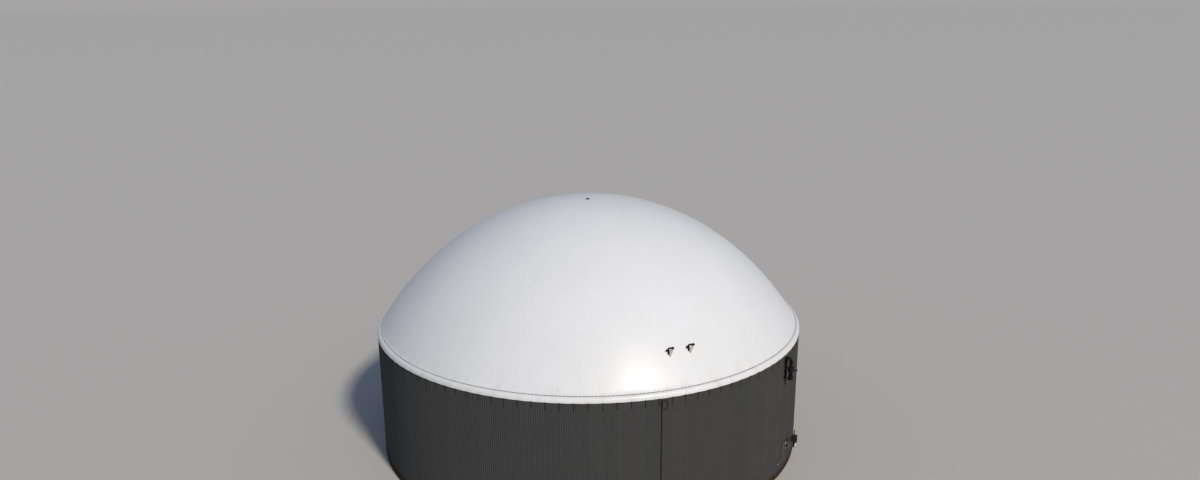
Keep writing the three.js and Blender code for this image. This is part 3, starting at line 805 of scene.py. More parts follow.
lap_screw = placed(bolt(SCREW_SIZE), shift(0, -CREST_RADIUS - LAP_LIFT, FIRST_ROW) @ OUTWARD)
valley_screw = lap_screw.copy()
valley_screw.data = lap_screw.data.copy()
bpy.context.collection.objects.link(valley_screw)
placed(valley_screw, swing(SCREW_VALLEY * 360 / RIBS) @ shift(0, RIB_DEPTH + LAP_LIFT, 0))
screws = array_round(join(valley_screw, lap_screw), SHEETS)
settle("sheet_screws", array_up(screws, SCREW_ROWS, ROW_SPACING), sheet_anthracite, place=LAP_TURN)

# %% [markdown]
# ## Drip edge
# At the foot a bent strip closes the gap between sheet and wall and throws the rain clear of the slab. Its
# section is a shallow Z, turned about the tank.

# %% Drip edge
DRIP_GAUGE = 0.003
DRIP_FALL = 0.006
DRIP_LIP = 0.032

drip_out = CREST_RADIUS + 0.012
drip = turned([
    (WALL_RADIUS + 0.002, CLADDING_FOOT - DRIP_GAUGE),
    (WALL_RADIUS + 0.002, CLADDING_FOOT),
    (drip_out, CLADDING_FOOT - DRIP_FALL),
    (drip_out + 0.004, CLADDING_FOOT - DRIP_LIP),
    (drip_out + 0.001, CLADDING_FOOT - DRIP_LIP),
    (drip_out - DRIP_GAUGE, CLADDING_FOOT - DRIP_FALL - DRIP_GAUGE)], TANK_STEPS, closed=True)
settle("drip_edge", drip, sheet_anthracite)

# %% [markdown]
# ## Edge apron
# An apron of the same white cloth leads from the clamped edge over the wall head and down past the top of
# the sheet, so that rain stays out of the insulation. Straps pull it down every 0.76 m, and between them
# its hem bulges a little. The apron is turned with eight columns between two straps. Then the hem's
# columns move in and out by a cosine, as cloth does between fixings, and a cord in the hem makes its edge
# round.

# %% Edge apron
APRON_TOP = (13.597, 8.294)
APRON_LIP = 8.012
APRON_THICKNESS = 0.004
APRON_ARC = 14
HEM_RADIUS = 0.009
HEM_HEIGHT = 8.006
COLUMNS_PER_STRAP = 8
BULGE = 0.006
HEM_LIFT = 0.003
BULGE_TOP, BULGE_REACH = 8.23, 0.2


def apron_point(share, inset=0.0):
    """A point of the apron's section, from the clamped edge at 0 to its lip at 1."""
    angle = share * pi / 2
    width = LIP_RADIUS - APRON_TOP[0] - inset
    drop = APRON_TOP[1] - APRON_LIP - inset
    return APRON_TOP[0] + width * sin(angle), APRON_LIP + drop * cos(angle)


outside = [apron_point(i / APRON_ARC) for i in range(APRON_ARC + 1)]
inside = [apron_point(i / APRON_ARC, APRON_THICKNESS) for i in range(APRON_ARC, -1, -1)]
hem = [(LIP_RADIUS - HEM_RADIUS + HEM_RADIUS * cos(a), HEM_HEIGHT + HEM_RADIUS * sin(a))
       for a in [pi / 4 - i * pi / 4 for i in range(6)]]
apron = turned(outside + hem + inside, SHEETS * COLUMNS_PER_STRAP, closed=True)
for vertex in apron.data.vertices:
    x, y, z = vertex.co
    low = min(max((BULGE_TOP - z) / BULGE_REACH, 0), 1)
    bearing = Vector((0, -1)).angle_signed(Vector((x, y)), 0)
    phase = cos((bearing + FIRST_LAP) * SHEETS)
    swell = 1 - BULGE * low * (0.5 + 0.5 * phase) / LIP_RADIUS
    vertex.co = (x * swell, y * swell, z + HEM_LIFT * low * phase)
settle("edge_apron", apron, membrane_white, "edge_skirt", smooth=50)

# %% [markdown]
# ## Straps
# Short black webbing straps hang from eyelets in the hem and hook into small brackets on the sheet laps.
# From the air they are the row of dark ticks below the white edge. One strap with its fold and its riveted
# bracket is made at the front and arrayed with the laps.

# %% Straps with their folds and brackets
STRAP_HALF = 0.0225
STRAP_FOOT = 7.620
STRAP_LEAN = 0.012
PLATE_HALF = 0.024

strap_out = LIP_RADIUS - 0.003
plate_out = CREST_RADIUS + 0.009
strap = block((-STRAP_HALF, -strap_out, STRAP_FOOT), (STRAP_HALF, -strap_out + 0.004, HEM_HEIGHT + 0.012),
              0.001, 1)
move_points(strap, lambda vertex: vertex.co.z < STRAP_FOOT + 0.01, (0, STRAP_LEAN, 0))
fold = block((-STRAP_HALF - 0.001, -strap_out - 0.004, HEM_HEIGHT - 0.05),
             (STRAP_HALF + 0.001, -strap_out + 0.006, HEM_HEIGHT + 0.014), 0.003)
settle("hem_straps", array_round(join(strap, fold), SHEETS), webbing_black, place=LAP_TURN)

plate = block((-PLATE_HALF, -plate_out, STRAP_FOOT - 0.02),
              (PLATE_HALF, -CREST_RADIUS + 0.002, STRAP_FOOT + 0.05), 0.002, 1)
rivet = placed(bolt(0.008), shift(0, -plate_out, STRAP_FOOT + 0.002) @ OUTWARD)
settle("strap_plates", array_round(join(plate, rivet), SHEETS), plastic_black, place=LAP_TURN)

# %% [markdown]
# ## Clamping rail
# The membrane's edge is pressed on the wall head by a rail. An inflated rubber hose lies in a channel and
# saddles bridge it every 0.21 m. Seen from the air, hose and saddles take turns, and that makes the dashed
# line round the dome. The channel and the hose are turned, and one saddle with its bolt is arrayed.

# %% Clamping rail
RAIL_STEPS = 360
RAIL_FOOT = WALL_HEAD + 0.0226
RAIL_HALF_WIDTH = 0.028
RAIL_INNER = 0.025
RAIL_HEIGHT = 0.016
RAIL_FLOOR = 0.004
HOSE_RADIUS = 0.016
SADDLES = 400
SADDLE_HALF = 0.0275

mid = DOME_FOOT[0]
half_section = [(RAIL_HALF_WIDTH, 0), (RAIL_HALF_WIDTH, RAIL_HEIGHT), (RAIL_INNER, RAIL_HEIGHT),
                (RAIL_INNER, RAIL_FLOOR)]
# The channel's dark zinc is partly painted shade: it deepens the dark line between the saddles.
channel = turned([(mid + x, RAIL_FOOT + z) for x, z in half_section]
                 + [(mid - x, RAIL_FOOT + z) for x, z in reversed(half_section)], RAIL_STEPS, closed=True)
settle("rail_channel", channel, shaded_weathered_zinc, "clamp_rail")

hose_height = RAIL_FOOT + HOSE_RADIUS + 0.005
hose = turned(round_section(mid, hose_height, HOSE_RADIUS, 10), RAIL_STEPS, closed=True)
settle("rail_hose", hose, rubber_black)

saddle_top = hose_height + HOSE_RADIUS + 0.005
saddle = block((-SADDLE_HALF, -mid - RAIL_HALF_WIDTH - 0.002, RAIL_FOOT),
               (SADDLE_HALF, -mid + RAIL_HALF_WIDTH + 0.002, saddle_top), 0.008)
settle("rail_saddles", array_round(join(saddle, bolt(0.010, (0, -mid, saddle_top))), SADDLES), paint_white)

# %% [markdown]
# ## Dome membrane
# The outer membrane is welded from gores and blown up, so it is very nearly a cap of a sphere, drawn in a
# little at its foot. The solid is a coarse version of it. Here the same curve is turned in 360 steps with
# many rings, and its edge lies flat under the rail. Solidify gives the cloth its thickness inwards.

# %% Dome membrane
DOME_RINGS = 56
CLOTH_THICKNESS = 0.003

widest = asin((mid - 0.031) / CAP_RADIUS)
curve = [CAP_RADIUS * sin(widest * i / DOME_RINGS) for i in range(DOME_RINGS + 1)]
outline = [(radius, dome_height(radius)) for radius in curve]
dome = turned(outline + [(mid + RAIL_HALF_WIDTH + 0.012, RAIL_FOOT - SEAT_GAP)], RAIL_STEPS)
modify(dome, "SOLIDIFY", thickness=CLOTH_THICKNESS, offset=-1)
settle("gas_dome_membrane", dome, membrane_white, "dome_membrane", smooth=60)

# %% [markdown]
# ## Welded seams and crown
# Gores of about 2.3 m are welded with a lap 45 mm wide, and a round crown covers where they meet. The laps
# stand only a couple of millimetres proud, but they break up the light on such a smooth shape. A lap is an
# edge that is extruded along the curve of the dome, and 36 of them are arrayed.

# %% Welded seams and crown
GORES = 36
SEAM_WIDTH = 0.045
SEAM_LIFT = 0.002
SEAM_SINK = 0.001
SEAM_STEPS = 40
CROWN_RADIUS = 0.80
CROWN_LIFT = 0.0008
CROWN_RINGS = 10

seam_start = asin(CROWN_RADIUS * 0.96 / CAP_RADIUS)
path = []
for i in range(SEAM_STEPS + 1):
    radius = CAP_RADIUS * sin(seam_start + (widest - seam_start) * i / SEAM_STEPS)
    path.append(Vector((0, -radius, dome_height(radius) - SEAM_SINK)))
seams = first_point(path[0] + Vector((-SEAM_WIDTH / 2, 0, 0)))
extrude((SEAM_WIDTH, 0, 0))
bpy.ops.mesh.select_all(action="SELECT")
for here, there in zip(path, path[1:]):
    extrude(there - here)
close_mesh(seams)
modify(seams, "SOLIDIFY", thickness=SEAM_LIFT + SEAM_SINK, offset=1)
settle("gore_seams", array_round(seams, GORES), membrane_white, place=swing(180 / GORES), smooth=60)

crown_rings = [CROWN_RADIUS * i / CROWN_RINGS for i in range(CROWN_RINGS + 1)]
crown_rings.insert(CROWN_RINGS, CROWN_RADIUS - 0.003)
crown_edge = CROWN_RADIUS + 0.002
crown = turned([(radius, dome_height(radius) + CROWN_LIFT) for radius in crown_rings]
               + [(crown_edge, dome_height(crown_edge) - 0.0005)], steps=180)
modify(crown, "SOLIDIFY", thickness=0.0015, offset=-1)
settle("crown_patch", crown, membrane_white, smooth=60)

# %% [markdown]
# ## Apex fitting
# Close to the top sits a small flanged fitting with a dark cap. The flange is turned steel with a ring of
# bolts, and the cap is turned plastic with a rounded top.

# %% Apex fitting
APEX_OFFSET = 0.500

apex = shift(0, -APEX_OFFSET, dome_height(APEX_OFFSET))
flange = turned([
    (0, -0.012), (0.150, -0.012), (0.150, 0.014), (0.146, 0.018), (0.085, 0.018), (0.085, 0.030), (0, 0.030)])
settle("apex_flange", [flange, bolt_circle(12, 0.122, 0.018, 0.010)], steel_galvanised, "apex_fitting",
       place=apex)
cap = turned([
    (0, 0.028), (0.078, 0.028), (0.078, 0.034), (0.072, 0.038), (0.072, 0.062), (0.066, 0.071),
    (0.040, 0.075), (0, 0.075)])
settle("apex_cap", cap, plastic_black, place=apex)

# %% [markdown]
# ## Vent sleeves
# Two vents stand on the front right of the dome. Each is a pale cloth sleeve with a lid of cloth, and behind
# it a black pipe. Both rise from one round patch of welded cloth. The sleeve could be simulated, but its
# clamp and its rim hold it taut. So it is turned, folded by soft pleats and tilted downhill.

# %% Cloth sleeves of the vents
VENT_BEARINGS = (21.35, 27.1)
VENT_RADIUS = 12.455
SLEEVE_LEAN = 21
SLEEVE_LENGTH = 0.335
SLEEVE_FOOT = 0.062
SLEEVE_FLARE = 0.030
FLARE_START = 0.030
FLARE_RINGS = 9
PLEATS = 7
PLEAT_DEPTH = 0.05


def cloth_patch(name, place, radius, edge, lift, foot, steps):
    """A round patch of welded cloth with a thin edge, which a fitting stands on."""
    patch = turned([(0, lift), (radius - edge, lift), (radius, 0.001), (radius, foot), (0, foot)], steps)
    settle(name, patch, membrane_white, place=place)


def vent_sleeve(number, place):
    shares = [i / FLARE_RINGS for i in range(FLARE_RINGS + 1)]
    sleeve = turned([
        (0.064, -0.120), (0.070, -0.004), (0.068, 0.010),
        *[(SLEEVE_FOOT + SLEEVE_FLARE * share ** 1.2, FLARE_START + (SLEEVE_LENGTH - FLARE_START) * share)
          for share in shares],
        (0.085, SLEEVE_LENGTH), (0.080, SLEEVE_LENGTH - 0.004), (0.040, SLEEVE_LENGTH - 0.007),
        (0, SLEEVE_LENGTH - 0.005)], steps=56)
    for vertex in sleeve.data.vertices:
        x, y, z = vertex.co
        if FLARE_START < z < SLEEVE_LENGTH - FLARE_START:
            bearing = Vector((1, 0)).angle_signed(Vector((x, y)), 0)
            fold = sin(pi * (z - FLARE_START) / (SLEEVE_LENGTH - 2 * FLARE_START))
            pleat = 1 + PLEAT_DEPTH * sin(bearing * PLEATS + z * 9) * fold
            vertex.co = (x * pleat, y * pleat, z)
    lean = place @ swing(SLEEVE_LEAN, "X")
    settle(f"vent_{number}_cloth_sleeve", sleeve, cloth_pale, f"vent_{number}_sleeve", place=lean, smooth=50)
    clamp = turned([(0.0635, 0.034), (0.0675, 0.034), (0.0675, 0.048), (0.0645, 0.048)], 40, closed=True)
    rim = turned(round_section(SLEEVE_FOOT + SLEEVE_FLARE, SLEEVE_LENGTH, 0.006, 8), closed=True)
    settle(f"vent_{number}_sleeve_clamp", [clamp, rim], steel_galvanised, place=lean)


print("sleeves:", len(VENT_BEARINGS), "of", SLEEVE_LENGTH, "m")

# %% [markdown]
# ## Vent necks
# The black pipe rises behind its sleeve, leans over it and ends in a round cap. It is bent from a ring.
# Collars mark its sockets, and a short plugged stub looks to the left. They are short pipes with rounded
# ends, given as a table of a radius and a route.

# %% Black necks of the vents
NECK_SIDES = 24
NECK_RADIUS = 0.048
NECK_BEND = 0.100
NECK_CAP_RADIUS = 0.082
STEM_FOOT = Vector((-0.088, 0.072, -0.060))
STEM_TOP = Vector((-0.050, 0.130, 0.400))
NECK_END = Vector((0.045, -0.200, 0.500))
BRANCH = Vector((-0.066, 0.106, 0.280))


def vent_neck(number, place):
    arm = (NECK_END - STEM_TOP).normalized()
    neck = pipe([STEM_FOOT, STEM_TOP, NECK_END], NECK_RADIUS, NECK_BEND, NECK_SIDES)
    # The stub, its plug, the collar before the cap, the socket in the stem and the boot at its foot
    collars = [soften(pipe(route, radius, sides=NECK_SIDES), 0.004) for radius, *route in (
        (NECK_RADIUS, BRANCH, BRANCH + Vector((-0.112, 0, -0.004))),
        (0.056, BRANCH + Vector((-0.085, 0, -0.003)), BRANCH + Vector((-0.129, 0, -0.004))),
        (0.057, NECK_END - arm * 0.145, NECK_END - arm * 0.080),
        (0.055, STEM_FOOT.lerp(STEM_TOP, 0.62), STEM_FOOT.lerp(STEM_TOP, 0.85)),
        (0.054, STEM_FOOT.lerp(STEM_TOP, 0.18), STEM_FOOT.lerp(STEM_TOP, 0.42)))]
    bpy.ops.mesh.primitive_uv_sphere_add(
        segments=28, ring_count=16, radius=NECK_CAP_RADIUS, location=NECK_END)
    cap = open_mesh(bpy.context.object)
    choose(cap, lambda vertex: (vertex.co - NECK_END).z < -NECK_CAP_RADIUS / 2)
    bpy.ops.transform.resize(value=(1.06, 1.06, 0.8))
    close_mesh(cap)
    settle(f"vent_{number}_black_neck", [neck, *collars, cap], pvc_black, f"vent_{number}_neck", place=place)


for number, bearing in enumerate(VENT_BEARINGS, 1):
    place = on_dome(bearing, VENT_RADIUS, upright=True)
    vent_sleeve(number, place)
    vent_neck(number, place)
    cloth_patch(f"vent_{number}_patch", on_dome(bearing - 0.2, VENT_RADIUS - 0.03), 0.190, 0.002, 0.003,
                -0.008, 56)

# %% [markdown]
# ## Studs low on the membrane
# Two small white studs stand just above the rail, each on a round patch of welded cloth.

# %% Membrane studs
STUDS = ((-6.2, 13.367), (11.6, 13.440))

for number, (bearing, radius) in enumerate(STUDS, 1):
    place = on_dome(bearing, radius)
    cloth_patch(f"stud_patch_{number}", place, 0.094, 0.004, 0.004, -0.006, 40)
    stud = turned([
        (0, 0.003), (0.045, 0.003), (0.045, 0.010), (0.030, 0.014), (0.030, 0.040), (0.035, 0.044),
        (0.035, 0.062), (0.028, 0.070), (0, 0.070)], steps=32)
    settle(f"stud_{number}", stud, paint_white, f"membrane_stud_{number}", place=place)

# %% [markdown]
# ## Cable duct and conduit bow
# A black duct brings the dome's cables down the wall. It is a channel with a snapped-on lid, clipped to the
# sheet every metre, with a deeper box at its head. A bow of conduit leaves the box and comes back to the
# duct: its glands are short screwed sleeves. The channel is a block whose front is inset and pulled out to
# make the lid.

# %% Cable duct and conduit bow
DUCT_BEARING = 16.85
DUCT_HALF, DUCT_DEPTH, DUCT_FOOT = 0.025, 0.046, 0.200
HEAD_HALF, HEAD_DEPTH, HEAD_FOOT, HEAD_TOP = 0.0425, 0.062, 7.450, 7.890
CLIPS, FIRST_CLIP, CLIP_SPACING = 7, 0.80, 1.05
BOW_RADIUS, BOW_REACH, BOW_TOP, BOW_BOTTOM = 0.022, 0.335, 7.840, 7.330
GLAND_LENGTH = 0.045

duct_place = on_wall(DUCT_BEARING)
channel = lidded_block((-DUCT_HALF, -DUCT_DEPTH + 0.004, DUCT_FOOT), (DUCT_HALF, 0, HEAD_FOOT + 0.01),
                       0.005, 0.004)
head = lidded_block((-HEAD_HALF, -HEAD_DEPTH + 0.006, HEAD_FOOT), (HEAD_HALF, 0, HEAD_TOP), 0.010, 0.006)
clip = block((-DUCT_HALF - 0.008, -DUCT_DEPTH - 0.003, FIRST_CLIP),
             (DUCT_HALF + 0.008, 0, FIRST_CLIP + 0.03), 0.003)
clips = array_up(clip, CLIPS, CLIP_SPACING)
settle("wall_cable_duct", [channel, head, clips], pvc_black, "cable_duct", place=duct_place)

depth = -BOW_RADIUS - SEAT_GAP
bow = pipe([(HEAD_HALF, depth, BOW_TOP), (BOW_REACH, depth, BOW_TOP), (BOW_REACH, depth, BOW_BOTTOM),
            (DUCT_HALF, depth, BOW_BOTTOM)], BOW_RADIUS, 0.170, sides=16, steps=12)
glands = [soften(pipe([(x, depth, z), (x + GLAND_LENGTH, depth, z)], 0.031, sides=6), segments=1)
          for x, z in ((HEAD_HALF, BOW_TOP), (DUCT_HALF, BOW_BOTTOM))]
settle("wall_conduit_bow", [bow, *glands], pvc_black, "conduit_bow", place=duct_place)

# %% [markdown]
# ## Pipe and bend of the gas relief device
# High on the right, gas that is over its set pressure leaves through a black pipe, a thick bend and a valve
# that stands on a water pot. The pipe has a plug below, a socket above and three clips to the wall. The
# bend is a pipe through two corners, with a rim at each end of its slope.

# %% Pipe and bend of the gas relief device
RELIEF_BEARING = 58.3
STAND_OUT, COLUMN_OUT = 0.105, 0.395
STAND_FOOT, STAND_TOP = 6.336, 7.660
BEND_FOOT, BEND_END = 7.6603, 7.6903
BEND_PIPE, BEND_RIM = 0.085, 0.092
BEND = 0.110
BEND_SLOPE = radians(122)

relief_place = on_wall(RELIEF_BEARING)
column_place = relief_place @ shift(0, -COLUMN_OUT, 0)
stand = pipe([(0, -STAND_OUT, STAND_FOOT), (0, -STAND_OUT, STAND_TOP)], 0.055, sides=32)
ends = [placed(turned(outline, steps=32), shift(0, -STAND_OUT, 0)) for outline in (
    [(0, STAND_FOOT), (0.064, STAND_FOOT), (0.066, 6.340), (0.066, 6.405), (0.062, 6.410), (0, 6.410)],
    [(0, 7.560), (0.062, 7.560), (0.066, 7.564), (0.066, 7.656), (0.062, STAND_TOP), (0, STAND_TOP)])]
clips = [block((-0.075, -0.125, z - 0.022), (0.075, 0.004, z + 0.022)) for z in (6.60, 7.02, 7.45)]
settle("relief_stand_pipe", [stand, *ends, *clips], plastic_black, "relief_pipe", place=relief_place)

foot, end = Vector((0, -STAND_OUT, BEND_FOOT)), Vector((0, -COLUMN_OUT, BEND_END))
high = Vector((0, -STAND_OUT, 7.750 + BEND * tan(BEND_SLOPE / 2)))
low = Vector((0, -COLUMN_OUT, 7.706 + BEND * tan((pi - BEND_SLOPE) / 2)))
middle = high.lerp(low, 0.68)
elbow = pipe([foot, high, low, end], BEND_PIPE, BEND, sides=32, steps=10)
rims = [soften(pipe(route, BEND_RIM, sides=32)) for route in (
    [foot, (0, -STAND_OUT, 7.735)], [middle, middle + (low - high).normalized() * 0.040])]
settle("relief_bend", [elbow, *rims], plastic_black, "relief_elbow", place=relief_place)

# %% [markdown]
# ## Valve and pot of the gas relief device
# The valve is a stack of cast and turned parts, and its flanges and necks break up its outline. Each is
# turned from its own outline. The taper has eight ribs, the drum is cast iron in dark enamel, and three
# bands go round the neck. The pot below it holds water, and its level glass is a small block.

# %% Valve and pot of the gas relief device
POT_FOOT, POT_TOP = 6.515, 6.740

neck = turned([
    (0, 7.300), (0.118, 7.318), (0.118, 7.328), (0.066, 7.342), (0.060, 7.350), (0.060, 7.430),
    (0.066, 7.438), (0.104, 7.440), (0.108, 7.446), (0.108, 7.500), (0.100, 7.508), (0.100, 7.622),
    (0.108, 7.630), (0.108, 7.684), (0.104, 7.690), (0, 7.690)], steps=56)
taper = turned([
    (0, 6.7403), (0.074, 6.7403), (0.078, 6.745), (0.078, 6.768), (0.074, 6.773), (0.058, 6.778),
    (0.056, 6.870), (0.090, 6.896), (0.097, 6.906), (0.116, 7.020), (0.116, 7.040), (0, 7.040)], steps=56)
ribs = array_round(block((-0.006, -0.106, 6.80), (0.006, -0.050, 6.90), 0.002, 1), 8)
settle("relief_valve_neck_and_taper", [neck, taper, ribs], plastic_black, "relief_valve", place=column_place)
drum = turned([
    (0, 7.035), (0.178, 7.037), (0.185, 7.047), (0.185, 7.150), (0.181, 7.154), (0.181, 7.186),
    (0.185, 7.190), (0.185, 7.302), (0.178, 7.311), (0, 7.324)], steps=64)
settle("relief_valve_drum", drum, enamel_dark, place=column_place)
bands = [turned([(radius - 0.003, z - 0.012), (radius, z - 0.012), (radius, z + 0.012),
                 (radius - 0.003, z + 0.012)], steps=56, closed=True)
         for radius, z in ((0.104, 7.540), (0.104, 7.590), (0.063, 7.390))]
settle("relief_valve_bands", bands, plastic_black, place=column_place)

pot = turned([
    (0, POT_FOOT), (0.134, POT_FOOT), (0.140, 6.522), (0.140, 6.700), (0.145, 6.704), (0.145, 6.732),
    (0.140, POT_TOP), (0, POT_TOP)], steps=56)
level_glass = block((-0.012, -0.160, 6.550), (0.012, -0.136, 6.690), 0.005, 3)
settle("relief_water_pot", [pot, level_glass], plastic_black, "relief_pot", place=column_place)

# %% [markdown]
# ## Outlet and bracket of the gas relief device
# A short arm with a hollow flange looks out of the drum, where a vent pipe can be bolted on. A galvanised
# bracket carries the pot and passes the pipe with an arm, a strut and a foot on each side.

# %% Outlet and bracket of the gas relief device
OUTLET_HEIGHT, OUTLET_ROOT = 7.170, 0.1830
ARM_SIDE = 0.0925

outlet = turned([
    (0, -0.006), (0.056, -0.006), (0.056, 0.010), (0.040, 0.014), (0.040, 0.175), (0.075, 0.175),
    (0.075, 0.195), (0.034, 0.195), (0.034, 0.145), (0, 0.145)], steps=36)
settle("relief_outlet_arm", [outlet, bolt_circle(4, 0.058, 0.193, 0.006)], shaded_weathered_zinc, "relief_outlet",
       place=column_place @ shift(0, -OUTLET_ROOT, OUTLET_HEIGHT) @ OUTWARD)

bracket = [block((-0.120, -COLUMN_OUT - 0.150, 6.503), (0.120, -COLUMN_OUT + 0.150, 6.5147), 0.003)]
for x in (-ARM_SIDE, ARM_SIDE):
    bracket += [block((x - 0.0175, -COLUMN_OUT, 6.465), (x + 0.0175, 0, 6.505), 0.003),
                pipe([(x, -0.232, 6.472), (x, -0.012, 6.240)], 0.014, sides=16),
                block((x - 0.030, -0.012, 6.200), (x + 0.030, 0.002, 6.512), 0.003)]
settle("relief_wall_bracket", bracket, steel_dulled, "relief_bracket", place=relief_place)

# %% [markdown]
# ## Drain
# Low on the right a steel pipe comes out of the wall, held up by a strut. A knife gate valve hangs on its
# flange, and a white blind flange closes it. The valve's body is a block whose face is inset, the rest is
# turned, and the flanges get their bolt circles.

# %% Pipe and valve of the drain
DRAIN_BEARING, DRAIN_HEIGHT = 62.5, 1.790
VALVE_NEAR, VALVE_FAR = -0.4803, -0.5903
drain_place = on_wall(DRAIN_BEARING, DRAIN_HEIGHT)
run = turned([
    (0, -0.02), (0.120, -0.02), (0.120, 0.010), (0.114, 0.014), (0.060, 0.014), (0.057, 0.018),
    (0.057, 0.452), (0.062, 0.460), (0.105, 0.460), (0.105, 0.480), (0, 0.480)])
run = placed(join(run, bolt_circle(6, 0.092, 0.014, 0.008)), OUTWARD)
strut = pipe([(0, -0.330, -0.050), (0, -0.040, -0.365), (0, 0, -0.365)], 0.022, 0.03, sides=16)
saddle = block((-0.045, -0.365, -0.075), (0.045, -0.295, -0.045), 0.006)
foot = block((-0.060, -0.022, -0.430), (0.060, 0.002, -0.300))
settle("drain_pipe_and_flange", [run, strut, saddle, foot], steel_galvanised, "drain_pipe", place=drain_place)

body = lidded_block((-0.105, VALVE_FAR, -0.130), (0.105, VALVE_NEAR, 0.150), 0.020, -0.008)
cheeks = [block((x - 0.006, VALVE_FAR + 0.035, -0.135), (x + 0.006, VALVE_NEAR - 0.035, 0.155), 0.003, 1)
          for x in (-0.104, 0.104)]
bonnet = block((-0.066, VALVE_FAR + 0.012, 0.145), (0.066, VALVE_NEAR - 0.012, 0.205), 0.006)
settle("drain_gate_valve", [body, *cheeks, bonnet], enamel_dark, "drain_valve", place=drain_place)

blind_place = drain_place @ shift(0, VALVE_FAR - SEAT_GAP, 0) @ OUTWARD
settle("drain_blind_flange", turned(disc(0.150, 0, 0.035), 56), paint_white, "drain_flange",
       place=blind_place)
settle("drain_flange_bolts", bolt_circle(8, 0.118, 0.035, 0.010), steel_galvanised, place=blind_place)

# %% [markdown]
# ## Drive of the drain valve
# An electric drive stands on the valve, with a cover over the rising stem, and behind it sits its switch
# box. The one is cast and the other folded, both with wide round edges, so they are blocks with a large
# bevel and a lid. One cooling fin is made and arrayed upwards.

# %% Drive of the drain valve
STEM_OUT = 0.510
FINS, FIRST_FIN, FIN_SPACING = 9, 0.290, 0.028

housing = lidded_block((-0.108, -0.694, 0.200), (0.108, -0.420, 0.655), 0.022, 0.006, 0.020, 4)
plinth = block((-0.080, -0.600, 0.196), (0.080, -0.440, 0.215))
fin = block((-0.110, -0.660, FIRST_FIN), (0.110, -0.455, FIRST_FIN + 0.007), 0.002, 1)
stem = turned([
    (0, 0.650), (0.050, 0.650), (0.050, 0.668), (0.035, 0.674), (0.032, 0.680), (0.032, 0.958),
    (0.035, 0.962), (0.035, 0.984), (0.030, 0.990), (0, 0.990)], steps=32)
settle("drain_valve_drive", [housing, plinth, array_up(fin, FINS, FIN_SPACING),
                             placed(stem, shift(0, -STEM_OUT, 0))], coat_dark_grey, place=drain_place)
box = lidded_block((-0.088, -0.425, 0.214), (0.088, -0.252, 0.496), 0.016, 0.004, 0.012, 4)
box_lid = block((-0.090, -0.400, 0.240), (-0.082, -0.275, 0.470), 0.003)
glands = [pipe([(x, -0.350, 0.190), (x, -0.350, 0.216)], 0.016, sides=6) for x in (-0.040, 0.020)]
settle("drain_switch_box", [box, box_lid, *glands], coat_slate, place=drain_place)

# %% [markdown]
# ## Service pipe
# A thin galvanised pipe comes out of the wall beside the drain, goes down and slants off to the left along
# the foot, where it enters again. It is held by clips on short posts.

# %% Service pipe
PIPE_RADIUS = 0.027
PIPE_OFF = CREST_RADIUS + 0.062
CLIP_RADIUS, CLIP_HALF = 0.032, 0.014
LEVEL_BELOW = 1.2


def round_tank(bearing, radius, height):
    """A point at a bearing from the front, a distance from the axis and a height."""
    return Vector((radius * sin(radians(bearing)), -radius * cos(radians(bearing)), height))


service = [pipe([round_tank(*stop) for stop in (
    (61.4, CREST_RADIUS - 0.010, 2.060), (61.4, PIPE_OFF, 2.060), (59.3, PIPE_OFF, 2.060),
    (59.3, PIPE_OFF, 1.130), (56.3, PIPE_OFF, 1.020), (56.3, CREST_RADIUS - 0.010, 1.020))],
    PIPE_RADIUS, 0.055)]
for bearing, height in ((59.3, 1.90), (59.3, 1.35), (57.6, 1.067)):
    clip = turned([(PIPE_RADIUS, -CLIP_HALF), (CLIP_RADIUS, -CLIP_HALF), (CLIP_RADIUS, CLIP_HALF),
                   (PIPE_RADIUS, CLIP_HALF)], steps=24, closed=True)
    along = swing(90, "Y") if height < LEVEL_BELOW else Matrix()
    service += [
        placed(clip, shift(*round_tank(bearing, PIPE_OFF, height)) @ swing(bearing) @ along),
        pipe([round_tank(bearing, CREST_RADIUS - 0.030, height),
              round_tank(bearing, PIPE_OFF - PIPE_RADIUS, height)], 0.010, sides=12)]
settle("service_pipe_run", service, steel_dulled, "service_pipe")

# %% [markdown]
# ## Access hatch
# Near the ground a framed panel is bolted over the way into the tank. Its frame is a block with an inset,
# sunk field. The cover has two stiffening bars, two grips and a row of bolts all round, and a sill below it
# sheds water.

# %% Access hatch
HATCH_BEARING = 7.5
HATCH_HALF, HATCH_DEPTH, HATCH_FOOT, HATCH_HEAD, HATCH_BAR = 0.550, 0.060, 0.600, 1.650, 0.075
BOLT_INSET, BOLT_GAPS = 0.036, 7

hatch_place = on_wall(HATCH_BEARING)
inner = HATCH_HALF - HATCH_BAR
hatch_frame = inset_faces(
    block((-HATCH_HALF, -HATCH_DEPTH, HATCH_FOOT), (HATCH_HALF, 0, HATCH_HEAD)),
    lambda face: face.normal.y < -FACING and face.calc_area() > 0.5, (HATCH_BAR - 0.006, 0), (0.002, -0.045))
sill = block((-HATCH_HALF - 0.020, -0.072, HATCH_FOOT - 0.045), (HATCH_HALF + 0.020, 0, HATCH_FOOT - 0.004),
             0.005)
move_points(sill, lambda vertex: vertex.co.y < -0.05 and vertex.co.z > HATCH_FOOT - 0.02, (0, 0, -0.014))
settle("hatch_frame_and_sill", [hatch_frame, sill], sheet_anthracite, "hatch_frame", place=hatch_place)

